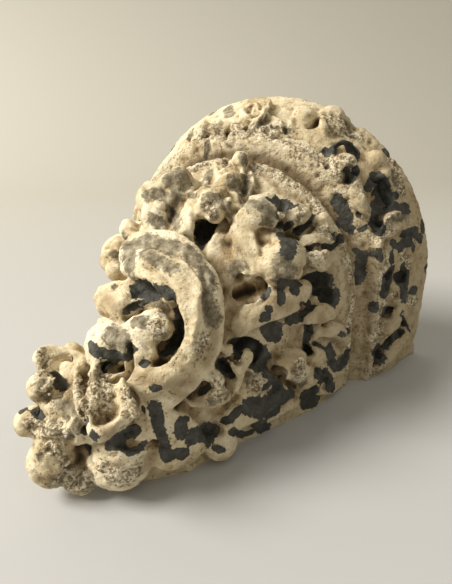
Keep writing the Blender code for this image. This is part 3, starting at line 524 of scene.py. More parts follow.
band([on_body(-104, 50, 2), on_body(-112, 44, 4), on_body(-122, 36, 3)], [10, 18, 10], 6, "flat")

# Pendant: a round pod with a cleft, ridged leaf folds hanging over it, and a worn, scrolled cluster to its
# left.
bud(in_pendant(2, 25, 82), 45, 45, 45)
bud(in_pendant(8, 38, 81), 36, 30, 34)
bud(in_pendant(-32, 34, 91), 39, 34, 26)
bud(in_pendant(-37, 24, 94), 32, 26, 22)
bud(in_pendant(-22, 18, 90), 36, 23, 26)
bud(in_pendant(-51, 50, 91), 19, 24, 22)
bud(in_pendant(-28, 47, 90), 30, 24, 24)
bud(in_pendant(-34, 58, 86), 30, 30, 26)
bud(in_pendant(-45, 71, 86), 22, 25, 24)
bud(in_pendant(-59, 56, 72), 24, 12, 22)
bud(in_pendant(-74, 62, 70), 26, 16, 10)
bud(in_pendant(-28, 72, 77), 32, 22, 24)
band([in_pendant(-53, 80, 84), in_pendant(-61, 83, 82), in_pendant(-60, 86, 79),
      in_pendant(-53, 86, 77), in_pendant(-42, 84, 75), in_pendant(-30, 80, 74)],
     [6, 8, 7, 7, 7, 6], 4, sink=12)
pocket(in_pendant(-56, 74, 76), 18, 11, 44)
bud(in_pendant(-10, 70, 81), 24, 38, 24)
bud(in_pendant(-14, 54, 84), 30, 40, 30)
bud(in_pendant(-24, 33, 85), 24, 30, 24)
bud(in_pendant(0, 60, 85), 22, 20, 22)
band([in_pendant(-25, 84, 80), in_pendant(-19, 81, 84), in_pendant(-12, 77, 88), in_pendant(-5, 71, 90)],
     [4, 7, 8, 5], 8, "ridge", sink=14)
band([in_pendant(-17, 84, 78), in_pendant(-6, 82, 84), in_pendant(5, 78, 89)], [6, 8, 6],
     6, "ridge", sink=14)
band([in_pendant(3, 80, 79), in_pendant(14, 80, 83), in_pendant(21, 76, 85), in_pendant(27, 70, 86)],
     [5, 9, 11, 9], 9, "ridge", sink=14)
band([in_pendant(7, 68, 74), in_pendant(17, 62, 76), in_pendant(23, 54, 78), in_pendant(28, 44, 79)],
     [8, 11, 11, 8], 6, sink=16)
band([in_pendant(3, 67, 91), in_pendant(11, 66, 93), in_pendant(15, 65, 91), in_pendant(15, 65, 87)],
     [7, 9, 9, 5], 9, "ridge", sink=14)
band([in_pendant(6, 62, 90), in_pendant(10, 56, 92)], [7, 3], 6, sink=12)
pocket(in_pendant(-12, 80, 75), 8.5, 9.5, 26)
groove([in_pendant(12, 53, 91), in_pendant(17, 51, 89), in_pendant(24, 48, 87), in_pendant(28, 42, 82)],
       [2, 9, 11, 3], 15)
pocket(in_pendant(18, 54, 86), 15, 9, 18, 15)
pocket(in_pendant(21, 64, 80), 4, 9, 9)
groove([in_pendant(-6, 60, 89), in_pendant(-3, 54, 92), in_pendant(2, 44, 94), in_pendant(9, 34, 94)],
       [4, 3, 3, 2], 7)
bud(in_pendant(-80, 50, 62), 34, 22, 22)
bud(in_pendant(-24, 26, 87), 20, 26, 22)
groove([in_pendant(-24, 82, 83), in_pendant(-17, 78, 88), in_pendant(-9, 70, 90)], [3, 5, 4], 8)
groove([in_pendant(-19, 82, 80), in_pendant(-8, 76, 86), in_pendant(1, 68, 91)], [2.5, 4, 5], 9)
bud(in_pendant(0, 74, 84), 20, 40, 24)
bud(in_pendant(5, 70, 84), 16, 26, 20)
pocket(in_pendant(-42, 58, 90), 7, 6, 9)
groove([in_pendant(-41, 76, 82), in_pendant(-34, 72, 85), in_pendant(-34, 68, 89),
        in_pendant(-39, 66, 91)], [3, 5, 4, 2], 9)
pocket(in_pendant(-27, 44, 99), 9, 9, 5)

# Fusing: all the forms become one skin, the pockets are cut, and the skin is evened out, as in the single
# pour of plaster. The back and the shelf top are sawn flat once the surface has been worked.
FINE = 1.45 * MM
COARSE = max(FINE, 1.9 * MM)
HOLLOW_GRID = 1.6 * MM
KEPT_SHARE = 0.4


def joined(parts, name):
    """One object of many, with its place applied."""
    bpy.ops.object.select_all(action="DESELECT")
    for part in parts:
        part.select_set(True)
    bpy.context.view_layer.objects.active = parts[0]
    bpy.ops.object.join()
    bpy.ops.object.transform_apply(location=True, rotation=True, scale=True)
    parts[0].name = name
    bpy.ops.object.mode_set(mode="EDIT")
    bpy.ops.mesh.select_all(action="SELECT")
    bpy.ops.mesh.normals_make_consistent(inside=False)
    bpy.ops.object.mode_set(mode="OBJECT")
    return parts[0]


def fused(thing, size):
    """Voxel remesh, applied."""
    bpy.context.view_layer.objects.active = thing
    skin = thing.modifiers.new("skin", "REMESH")
    skin.mode = "VOXEL"
    skin.voxel_size = size
    bpy.ops.object.modifier_apply(modifier="skin")


def cut(thing, cutter, operation):
    """Boolean, applied, and its cutter removed."""
    bpy.context.view_layer.objects.active = thing
    knife = thing.modifiers.new("cut", "BOOLEAN")
    knife.operation = operation
    knife.solver = "EXACT"
    knife.object = cutter
    bpy.ops.object.modifier_apply(modifier="cut")
    bpy.data.objects.remove(cutter, do_unlink=True)


corbel = joined([corbel] + forms, "corbel")
hollows = joined(pockets, "hollows")
fused(corbel, COARSE)
fused(hollows, HOLLOW_GRID)
cut(corbel, hollows, "DIFFERENCE")
fused(corbel, FINE)


def block(name, width, depth, height, bottom):
    """Box with its back on the wall plane, used to saw the casting flat."""
    bpy.ops.object.select_all(action="DESELECT")
    bpy.ops.mesh.primitive_cube_add(size=1.0, location=(0, -depth / 2, bottom + height / 2),
                                    scale=(width, depth, height))
    made = bpy.context.object
    made.name = name
    return made


bpy.ops.object.select_all(action="DESELECT")
mesh = corbel.data
count = len(mesh.vertices)
spots_now = np.zeros(count * 3)
mesh.vertices.foreach_get("co", spots_now)
spots_now = spots_now.reshape(-1, 3)
edges = np.zeros(len(mesh.edges) * 2, int)
mesh.edges.foreach_get("vertices", edges)
edges = edges.reshape(-1, 2)
links = np.bincount(edges.ravel(), minlength=count)[:, None]


def softened(values, times):
    """Values averaged with their neighbours' along the mesh, again and again."""
    for _ in range(times):
        total = np.zeros_like(values)
        for axis in range(values.shape[1]):
            total[:, axis] = (np.bincount(edges[:, 0], values[edges[:, 1], axis], count)
                              + np.bincount(edges[:, 1], values[edges[:, 0], axis], count))
        values = KEPT_SHARE * values + (1 - KEPT_SHARE) * total / np.maximum(links, 1)
    return values


def outward():
    """Vertex normals of the mesh as it is now."""
    normals = np.zeros(count * 3)
    mesh.vertex_normals.foreach_get("vector", normals)
    return normals.reshape(-1, 3)


# Small tool work: creases, folds and drilled eyes pressed into the big forms, and fine ridges left
# standing. Each stroke has its places, half its width, and its height, negative where it cuts in. The
# places were read by eye from the photograph, and a scratch program worked them out on the surface.
TOOL_STEPS = 14
STROKE_MARGIN = 2.5
CUT_POWER = 1.4
RIDGE_POWER = 2
tree = kdtree.KDTree(count)
for index, spot in enumerate(spots_now):
    tree.insert(spot, index)
tree.balance()


def along_stroke(spots):
    """Close-set places and ways out along a stroke."""
    if len(spots) == 1:
        return [spots[0]]
    rows = smooth_rows([[*place, *way_out] for place, way_out in spots], TOOL_STEPS)
    return [(Vector(row[:3]), Vector(row[3:6]).normalized()) for row in rows]


def carved(strokes):
    """How far each point of the skin moves along its normal for these strokes, in millimetres."""
    moved = np.zeros(count)
    for spots, half, height in strokes:
        power = CUT_POWER if height < 0 else RIDGE_POWER
        share = {}
        for place, way_out in along_stroke(spots):
            for spot, index, gap in tree.find_range(place, (half + STROKE_MARGIN) * MM):
                rise = (spot - place).dot(way_out)
                aside = math.sqrt(max(gap * gap - rise * rise, 0.0)) / (half * MM)
                if aside < 1.0:
                    share[index] = max(share.get(index, 0.0), 1 - aside ** power)
        for index, part in share.items():
            moved[index] += part * height
    return moved


def field(patches):
    """Strength that patches, each of some places and a radius, leave at each point of the skin.

    It is 1 on the line through the places, a half at the radius and 0 at twice the radius.
    """
    strength = np.zeros(count)
    for spots, radius in patches:
        for place, _ in along_stroke(spots):
            for _, index, gap in tree.find_range(place, 2 * radius * MM):
                strength[index] = max(strength[index], 1 - 0.5 * gap / (radius * MM))
    return strength


TOOL_STROKES = [
    ([on_rim(-34, 11, 0), on_rim(-27.5, 62, -0.5), on_rim(-27, 83, 0)], 3, -3),
    ([on_body(-20.5, -2, 17), on_body(-17, -2, 1), on_body(-13, -2, 22)], 2.7, -2.5),
    ([on_rim(-8, 72, 0), on_rim(-8, 83, -1.5), on_rim(-6, 107, 3)], 2.2, -4),
    ([on_rim(-19.5, 48, 0), on_rim(-16, 83, 0.5), on_body(-11.5, -2.5, 2.5)], 1.4, -2),
    ([on_rim(-26.5, 9, 0), on_rim(-19, 42, 0), on_rim(-14, 49, 0)], 2, -2.5),
    ([on_rim(-3.5, 49, 7), on_rim(-1.5, 45, 6)], 3.2, -3.5),
    ([on_rim(-10, 22, 0), on_rim(-3, 53, 3.5), on_rim(0.5, 56, 5.5), on_rim(-1, 20, 0)], 1.4, -2),
    ([on_rim(1.5, 84, 6.5), on_rim(1.5, 63, 2), on_rim(1.5, 49, 3.5)], 1.8, -3),
    ([on_rim(4.5, 45, 8), on_rim(6.5, 57, 6.5), on_rim(6.5, 71, 3.5), on_rim(5.5, 82, 4.5)], 1.8, -3.5),
    ([on_rim(-1.5, 75, 2), on_rim(2.5, 91, 6.5), on_rim(5, 93, 4)], 1.2, -2),
    ([on_rim(-1.5, 99, 9), on_rim(0.5, 94, 5), on_rim(3, 96, 5.5), on_rim(4.5, 107, 3)], 1.2, -2),
    ([on_rim(14.5, 77, -1.5), on_rim(15.5, 82, 0)], 3.4, -4),
    ([on_rim(14.5, 52, 7), on_rim(15, 59, 1), on_rim(18.5, 77, 0)], 1.3, -2),
    ([on_rim(9, 101, 6.5), on_rim(12.5, 101, 5.5), on_rim(15.5, 92, 2), on_rim(19.5, 83, 0)], 1.7, -2),
    ([on_rim(22, 46, 3), on_rim(22, 52, 0.5), on_rim(21, 61, 0)], 2.6, -4),
    ([on_rim(-16, 60, 0), on_rim(-12, 98, 7.5), on_body(-10.5, -2, 1)], 2.7, 2.5),
    ([on_rim(-25.5, 35, 0), on_rim(-18.5, 93, 9), on_rim(-17.5, 97, 5)], 3.8, 3),
    ([on_rim(-8, 42, 0), on_rim(-0.5, 77, 4.5), on_rim(-1, 51, 1), on_rim(-1.5, 26, 0)], 2.3, 2.5),
    ([on_rim(-1, 17, 0), on_rim(5, 70, 8), on_rim(5.5, 80, 6)], 2.2, 3),
    ([on_rim(7, 65, 1.5), on_rim(10, 67, 0), on_rim(12.5, 72, 0)], 2.6, 3),
    ([on_rim(14.5, 62, 0), on_rim(17, 79, 0)], 2.6, 2.5),
    ([on_rim(23.5, 51, 7), on_rim(26, 61, 6.5), on_rim(27, 55, 1.5)], 2.5, 2),
    ([on_body(-18, 38, 31.5), on_body(-13.5, 39, 30.5), on_body(-11.5, 39, 26.5), on_body(-10, 36, 18)],
     1.2, -3),
    ([on_body(-15.5, 42, 30.5), on_body(-13.5, 42, 25.5), on_body(-11.5, 42.5, 18.5)], 1.2, -2.5),
    ([on_body(-13.5, 32.5, 28), on_body(-12, 34.5, 25), on_body(-10, 35.5, 19)], 1.2, -2),
    ([on_body(-4.5, 34.5, 17.5), on_body(-5, 32, 18.5), on_body(-3.5, 29, 17.5),
      on_body(-3.5, 24.5, 12.5)], 1.5, -3),
    ([on_body(-7.5, 41.5, 16), on_body(-8.5, 37.5, 15.5), on_body(-9, 34.5, 16)], 1.9, -3),
    ([on_body(-6.5, 25, 23.5), on_body(-6, 24, 17.5), on_body(-4, 24.5, 13)], 1.2, -1.5),
    ([on_body(-14.5, 7.5, 0), on_body(-5.5, 19.5, 9.5), on_body(-3, 24.5, 12)], 1.2, -2),
    ([on_body(-4, 11, 7), on_body(-2, 16.5, 8.5), on_body(-1, 20, 8.5)], 2, -4),
    ([on_body(-7, 25, 25), on_body(-13.5, 5.5, 1), on_body(-8.5, 5.5, 2)], 1.2, -2.5),
    ([on_body(10.5, 9.5, 5), on_body(14.5, 17.5, 7), on_body(20.5, 31, 25.5), on_body(19.5, 32.5, 20)],
     3, -4.5),
    ([on_body(12.5, 30, 22), on_body(15, 34, 24), on_body(16.5, 33, 14)], 1.4, -3.5),
    ([on_body(11, 34.5, 26.5), on_body(12, 36.5, 25.5), on_body(12.5, 37.5, 20.5)], 1.2, -2.5),
    ([on_body(7.5, 36.5, 25), on_body(9.5, 37, 20.5)], 1.2, -2),
    ([on_body(9.5, 7.5, 11), on_body(9, -0.5, 4.5)], 1.7, -2.5),
    ([on_body(-6.5, 5.5, 1.5), on_body(-1.5, 13.5, 6.5), on_body(6.5, 23, 15), on_body(11.5, 29, 21)],
     1.6, 2),
    ([on_body(-0.5, 34, 19), on_body(2.5, 38, 18.5), on_body(5.5, 40.5, 17)], 2.2, 2),
    ([on_body(16, 36.5, 7), on_body(20, 35, 8)], 1.2, -1.5),
    ([on_body(32, 34, 19.5), on_body(35, 32.5, 22), on_body(38, 29.5, 20)], 1.2, -3.5),
    ([on_body(33, 28.5, 26), on_body(35, 19.5, 0), on_body(37, 31, 21.5)], 1.4, -4),
    ([on_body(45.5, 9, 0.5), on_body(45, 13, 0), on_body(43.5, 17.5, 0)], 1.9, -5),
    ([on_body(38, 20.5, 21), on_body(40, 17, 19.5), on_body(43.5, 7.5, 0)], 1.2, -2),
    ([on_body(50, 15.5, 12.5), on_body(51, 14.5, 14.5)], 2.2, 3),
    ([on_body(48, 15, 15), on_body(49.5, 14.5, 15.5)], 1.9, -3),
    ([on_body(50, 26.5, 17.5), on_body(52.5, 23.5, 18.5), on_body(59, 11.5, 1), on_body(60.5, 7, 0)],
     1.9, -5),
    ([on_body(54, 14, 15), on_body(60.5, 5.5, 1)], 1.5, -3),
    ([on_body(53, 27.5, 18.5), on_body(55.5, 27.5, 18.5)], 1.2, -1.5),
    ([on_body(36, 32.5, 20.5), on_body(37.5, 33.5, 18), on_body(40.5, 37.5, 27)], 1.2, -2),
    ([on_body(52, 36, 1), on_body(54.5, 39.5, 14.5), on_body(57.5, 38, 15.5)], 1.4, -3),
    ([on_body(45, 42.5, -5), on_body(48, 39.5, -5.5), on_body(51, 39, 0)], 5, -5),
    ([on_body(49.5, 37, 0), on_body(52.5, 41.5, 12), on_body(55, 43.5, 15)], 1.4, -3),
    ([on_body(47.5, 45.5, 0), on_body(51, 48.5, 11.5), on_body(54.5, 46, 15), on_body(55, 43.5, 15)],
     1.2, -2),
    ([on_body(29.5, 43.5, 5.5), on_body(33.5, 43.5, 5)], 1.2, -1.5),
    ([on_body(72.5, 53, 3.5), on_body(70.5, 50.5, -2), on_body(73, 46.5, -5.5), on_body(78, 44.5, -4),
      on_body(83.5, 44.5, -3), on_body(87, 46.5, -2)], 2.8, -5),
    ([on_body(85.5, 65.5, 14.5), on_body(101.5, 56.5, 0.5), on_body(88.5, 60.5, 15),
      on_body(94.5, 54, 5.5)], 1.2, -3),
    ([on_body(81.5, 58, 6.5), on_body(76.5, 63, 19.5)], 1.3, -4),
    ([on_body(72, 56.5, 0.5), on_body(77.5, 57, 4.5), on_body(80.5, 58, 9.5)], 2, -4),
    ([on_body(92, 52.5, 5), on_body(96, 54, 9)], 1.2, -1.5),
    ([on_body(100, 50.5, 13), on_body(103, 46, 10.5), on_body(104, 42, 9)], 1.8, -4),
    ([on_body(97.5, 39.5, -1), on_body(93, 44, 16)], 2.2, -5),
    ([on_body(92, 42, -1), on_body(89, 41.5, 3), on_body(87.5, 40, 11.5), on_body(90.5, 36.5, 14.5),
      on_body(98.5, 32, 9.5)], 1.2, -2.5),
    ([on_body(110, 63, 4.5), on_body(110, 62.5, 10), on_body(109, 61, 11.5)], 1.2, -1.5),
    ([on_body(13, 54, 27), on_body(20, 55, 26.5), on_body(26.5, 58.5, 30.5), on_body(31.5, 62.5, 32),
      on_body(36, 65.5, 31), on_body(39, 68, 29.5)], 2.2, 2.5),
    ([on_body(19.5, 48.5, 23.5), on_body(27, 51, 24), on_body(34, 52.5, 22.5)], 1.2, -1.5),
    ([on_body(25, 54, 26.5), on_body(31, 57.5, 26.5), on_body(36, 61.5, 28.5)], 1.3, -2),
    ([on_body(11, 69.5, 32), on_body(14.5, 68.5, 32.5), on_body(20, 69, 33.5), on_body(21.5, 70.5, 32.5),
      on_body(17.5, 72, 32.5), on_body(13, 71.5, 34.5), on_body(11, 69.5, 32)], 1.2, -2),
    ([on_body(15, 70, 34), on_body(18.5, 70.5, 34)], 1.2, -2),
    ([on_body(18.5, 64, 33), on_body(24, 62, 19), on_body(29.5, 62, 9), on_body(31, 64.5, 8.5),
      on_body(27, 67.5, 8)], 3.2, -6),
    ([on_body(12, 68, 31.5), on_body(15.5, 66.5, 30.5), on_body(15, 62, 19.5), on_body(14, 63.5, 31)],
     1.2, -3),
    ([on_body(-8.5, 65.5, 20.5), on_body(-6, 64, 20), on_body(-2, 62.5, 19), on_body(2, 62.5, 16.5)],
     1.3, -4),
    ([on_body(-19, 61, 28), on_body(-23, 63, 28.5)], 1.4, -1.5),
    ([on_body(-37.5, 50.5, 24.5), on_body(-35, 51, 20), on_body(-34.5, 51, 15)], 1.2, -2),
    ([on_body(-17.5, 71.5, 31.5), on_body(-11, 74.5, 37), on_body(-9, 77, 37)], 1.2, -1.2),
    ([on_body(40.5, 70.5, 28.5), on_body(41, 70.5, 28.5)], 1.2, -5),
    ([on_body(-9.5, 56.5, 31.5), on_body(-0.5, 57.5, 33.5), on_body(8.5, 58.5, 33.5)], 1.3, 2),
    ([on_rim(42, 103, 13), on_rim(45, 101, 10), on_rim(44, 94, 14)], 2.4, -5),
    ([on_rim(45.5, 97, 13), on_rim(47, 106, 7.5), on_body(52.5, -1, 25.5), on_rim(59, 93, 2)], 1.6, 2),
    ([on_rim(53, 55, -6), on_rim(57, 80, 0), on_rim(60, 91, 2.5)], 1.2, -3),
    ([on_rim(35.5, 40, 0), on_rim(40, 42, 0), on_rim(42, 46, 2)], 1.2, -2),
    ([on_rim(32.5, 86, 6), on_rim(34.5, 75, 5), on_rim(37, 63, 3), on_rim(41, 61, 2)], 2.1, -3),
    ([on_rim(66.5, 102, 7), on_body(71, -1.5, 26), on_rim(76.5, 108, 4.5)], 1.6, 2.5),
    ([on_rim(82.5, 107, 3), on_rim(91, 100, 5), on_rim(100.5, 94, 2)], 1.7, 2),
    ([on_rim(68.5, 31, 0), on_rim(71.5, 19, 0)], 2.7, 2.5),
    ([on_rim(71, 59, -0.5), on_rim(72, 37, 0), on_rim(75.5, 16, 0)], 1.8, -3),
    ([on_rim(49.5, 60, 0), on_rim(55, 43, -7), on_rim(59, 52, -4), on_rim(61, 85, 1),
      on_rim(64.5, 104, 10.5)], 2.5, -4),
    ([on_rim(79.5, 89, 6), on_rim(83.5, 94, 5), on_rim(88, 97, 4.5)], 2.5, -3),
    ([on_rim(82.5, 68, 2), on_rim(87, 73, 6.5), on_rim(92, 71, 8)], 2.6, -3),
    ([on_rim(100.5, 94, 2), on_rim(98.5, 78, -3.5), on_rim(95, 84, 5)], 1.8, -3),
    ([on_rim(98.5, 79, 9.5), on_rim(110.5, 33, -2.5), on_rim(112.5, 36, 5.5)], 1.9, -3),
    ([on_rim(112, 44, 0), on_rim(112.5, 68, -0.5), on_rim(116, 78, -2.5), on_rim(120.5, 86, -2.5)],
     1.9, -3),
    ([on_rim(104, 88, 5), on_rim(100.5, 85, 9), on_rim(97, 82, 9.5)], 1.8, 2),
    ([on_rim(116, 77, 2.5), on_rim(115.5, 69, 7.5), on_rim(114.5, 48, 7.5)], 1.9, 2),
    ([on_body(95, 16, 10), on_body(102, 5.5, 1.5)], 1.2, -2.5),
    ([on_body(68, 0, 3.5), on_body(83, 5.5, 1), on_body(104.5, 0.5, 3.5), on_body(124.5, -1, 8.5)],
     1.2, -1.5),
    ([on_body(66, -2, 14), on_body(82, -1.5, 9), on_body(104.5, -2, 13), on_body(124.5, -2, 16)],
     1.2, -1.2),
    ([on_body(82.5, 28, 0.5), on_body(88.5, 29, 0.5), on_body(96, 28.5, 1.5)], 2.3, -4),
    ([on_body(94, 25.5, 0), on_body(100.5, 20, 0), on_body(106, 16.5, 0)], 1.6, -3),
    ([on_body(111.5, 18.5, 0), on_body(117, 19, 3), on_body(120, 22.5, 3.5)], 1.7, -3),
    ([on_body(2, 92.5, 55), on_body(-8.5, 89.5, 37), on_body(-8.5, 91, 31.5), on_body(-16, 90, 17.5),
      on_body(4.5, 91.5, 12), on_body(26.5, 91.5, 7.5)], 1.2, -4),
    ([on_body(-26, 79, 27), on_body(-14.5, 83.5, 39), on_body(-1, 90, 64), on_body(2.5, 91.5, 59.5)],
     1.2, -4),
    ([on_body(-16, 86, 54.5), on_body(-11, 89, 61), on_body(-6, 91, 59.5)], 1.2, -3),
    ([on_body(1, 83.5, 43), on_body(4.5, 86.5, 53.5), on_body(7.5, 88, 52.5), on_body(7, 89.5, 54)],
     1.2, -3),
    ([on_body(14, 84.5, 47.5), on_body(19.5, 86.5, 52), on_body(23.5, 87.5, 51)], 1.2, -3.5),
    ([on_body(21, 78.5, 24), on_body(26.5, 79, 22.5), on_body(33.5, 79, 11), on_body(40.5, 80, 11.5)],
     1.2, -3),
    ([on_body(-8.5, 82, 40), on_body(0, 87, 56), on_body(5.5, 89, 59)], 1.2, 2.5),
    ([on_body(-36, 84.5, 57), on_body(-32, 87.5, 65), on_body(-32, 90, 69.5)], 1.2, -2.5),
    ([on_body(-37.5, 91, 63.5), on_body(-34.5, 89, 57), on_body(-28, 88, 53)], 1.2, -2.5),
    ([on_body(-39, 93, 50), on_body(-28.5, 93.5, 45), on_body(-21.5, 92.5, 42), on_body(-12, 91.5, 44)],
     1.2, 2),
    ([on_body(-51, 95, 49.5), on_body(-39, 95.5, 42.5), on_body(-28.5, 94, 36.5),
      on_body(-12, 92, 36.5)], 1.2, -3),
    ([on_body(-53.5, 97, 22.5), on_body(-43, 95, 22), on_body(-39.5, 92, 22.5),
      on_body(-29.5, 91.5, 29)], 1.3, 2.5),
    ([on_body(-63, 95, 17), on_body(-46.5, 92.5, 15), on_body(-38.5, 90, 18), on_body(-31.5, 89, 21.5)],
     1.2, -3),
    ([on_body(-58, 96.5, 42.5), on_body(-44, 96.5, 41.5), on_body(-38, 96, 37)], 1.2, -2),
    ([on_body(-62.5, 99, 30), on_body(-69.5, 98, 23)], 1.2, -2),
    ([on_body(8, 87.5, 17), on_body(26, 86, 14.5), on_body(45.5, 84, 9.5), on_body(69, 80.5, 5)], 1.2, -3),
    ([on_body(10.5, 94, 55), on_body(17.5, 93.5, 53.5), on_body(19.5, 90.5, 52.5),
      on_body(20, 88.5, 49.5)], 1.2, 2),
    ([on_body(28, 85.5, 39.5), on_body(28.5, 84, 15.5), on_body(16, 86, 16.5)], 1.2, -3),
    ([on_body(-28.5, 88, 16.5), on_body(-19.5, 89, 16.5)], 1.2, -2),
    ([on_body(18, 89.5, 19.5), on_body(34.5, 89, 17), on_body(52.5, 87, 13)], 1.2, -1.5),
    ([on_body(17.5, 91, 17), on_body(41.5, 90, 15), on_body(74, 88, 10.5)], 1.2, -1.5),
    ([on_body(9, 87.5, 49), on_body(10, 88.5, 48), on_body(13, 88.5, 45)], 1.2, -2.5),
    ([on_body(-16.5, 90.5, 48), on_body(-23, 91.5, 45.5), on_body(-29, 92.5, 48.5)], 1.2, -3),
    ([on_body(-45.5, 80.5, 58), on_body(-45, 81, 54), on_body(-41.5, 83.5, 57)], 1.2, -2.5),
    ([on_body(-70.5, 74.5, 29.5), on_body(-37, 84, 40.5), on_body(-26.5, 88.5, 54)], 1.2, -2),
    ([on_body(-8.5, 77, 21), on_body(-10.5, 76.5, 16.5)], 3.2, -7),
    ([on_body(-46, 79.5, 45.5), on_body(-44.5, 78.5, 40.5), on_body(-42.5, 77.5, 36.5)], 2.7, -7),
    ([on_body(-12, 65, 13), on_body(5.5, 68.5, 30), on_body(13.5, 67, 30.5)], 1.2, -2),
    ([on_body(-9, 64.5, 24), on_body(-5, 60, 18), on_body(4.5, 59.5, 18.5)], 1.3, -3),
    ([on_body(19, 52, 27), on_body(24.5, 55.5, 26.5), on_body(29.5, 60.5, 31.5)], 1.3, 2),
    ([on_body(70.5, 56.5, 0.5), on_body(63.5, 64, 15.5), on_body(63, 67, 13.5)], 1.2, -2),
    ([on_body(42.5, 6.5, 0.5), on_body(45.5, 12.5, 12), on_body(47, 15.5, 11)], 1.2, -2.5),
    ([on_body(66, 11.5, 0), on_body(70.5, 10, 0), on_body(73.5, 12.5, 0)], 1.2, -3),
    ([on_body(48, 34, 31.5), on_body(52, 23, 13), on_body(55.5, 24, 22.5)], 1.2, 2),
    ([on_rim(49, 61, 0), on_rim(51.5, 54, 0.5), on_rim(54, 42, -2)], 1.7, -3),
    ([on_rim(34.5, 59, -3.5), on_rim(36.5, 64, 6), on_rim(40.5, 62, 5.5)], 1.3, -2),
    ([on_rim(27.5, 31, 7), on_rim(29, 6, -3.5), on_rim(32.5, 19, -1.5)], 1.8, -3),
    ([on_body(31, 40.5, 17), on_body(37, 41.5, 16.5), on_body(41.5, 42.5, 14)], 2.7, -4),
    ([on_body(28, 41, 5), on_body(38.5, 42, 5.5), on_body(48.5, 36.5, 0.5)], 1.2, 2),
    ([on_body(33.5, 33.5, 19), on_body(37, 31, 21.5), on_body(38.5, 23, 8.5)], 1.4, -3),
    ([on_body(20, 48.5, 23.5), on_body(30, 45.5, 6.5), on_body(38.5, 46, 0.5)], 1.2, -2),
    ([on_body(-3, 59, 33.5), on_body(7, 60, 33.5), on_body(16, 62, 33.5)], 1.9, -3),
    ([on_body(-14.5, 58, 24), on_body(2.5, 61, 31), on_body(14, 63, 33)], 1.2, 2),
    ([on_body(13.5, 53.5, 27), on_body(23, 56.5, 28.5), on_body(30, 61.5, 32)], 1.2, 2),
    ([on_body(24.5, 53.5, 26.5), on_body(31, 56.5, 26), on_body(38, 60.5, 25.5)], 1.2, -2.5),
    ([on_body(-33.5, 64, 29.5), on_body(-26, 63, 29), on_body(-16.5, 62.5, 27.5)], 1.2, -2),
    ([on_body(-17.5, 66.5, 27.5), on_body(-10, 64.5, 25)], 1.3, 2),
    ([on_body(-37.5, 64, 17.5), on_body(-13.5, 68, 21.5)], 1.4, -3),
    ([on_body(-50, 95, 51), on_body(-42.5, 93, 49), on_body(-25, 93, 40.5)], 1.2, -2),
    ([on_body(-46.5, 96.5, 43.5), on_body(-40, 96.5, 36), on_body(-31.5, 94, 32),
      on_body(-38.5, 91.5, 22.5)], 1.2, 2),
    ([on_body(-63.5, 98, 40.5), on_body(-53.5, 98, 30), on_body(-53, 96.5, 20.5)], 1.2, -2),
    ([on_body(2.5, 89, 19), on_body(18.5, 88.5, 18.5), on_body(26.5, 87.5, 17)], 1.2, -2.5),
    ([on_body(-35.5, 87, 66.5), on_body(-36.5, 84, 54.5), on_body(-40, 82, 42)], 1.2, -3),
    ([on_body(-8.5, 91.5, 34), on_body(-30, 88.5, 15), on_body(-6.5, 91, 14)], 1.2, -2),
    ([on_body(21.5, 37, 7.5), on_body(31.5, 42, 14.5), on_body(38.5, 42, 5.5)], 3.5, -4.5),
    ([on_body(31, 35, 17), on_body(38.5, 38.5, 17), on_body(44.5, 40.5, 17)], 2.1, 2.5),
    ([on_body(56.5, 27, 20.5), on_body(57, 25.5, 23), on_body(61.5, 11, 0)], 1.5, -2.5),
    ([on_body(53, 36, 29.5), on_body(59.5, 23, 4.5), on_body(59.5, 25.5, 21)], 1.4, -3.5),
    ([on_body(94, 28, 4), on_body(97, 26, 8.5), on_body(111.5, 18.5, 0)], 1.2, 2),
    ([on_body(99, 30.5, 7), on_body(104.5, 28, 9), on_body(114, 18, 0.5)], 1.6, -3.5),
    ([on_body(104, 12.5, 0), on_body(111, 7.5, 0), on_body(115.5, 10, 0)], 1.3, -2.5),
]

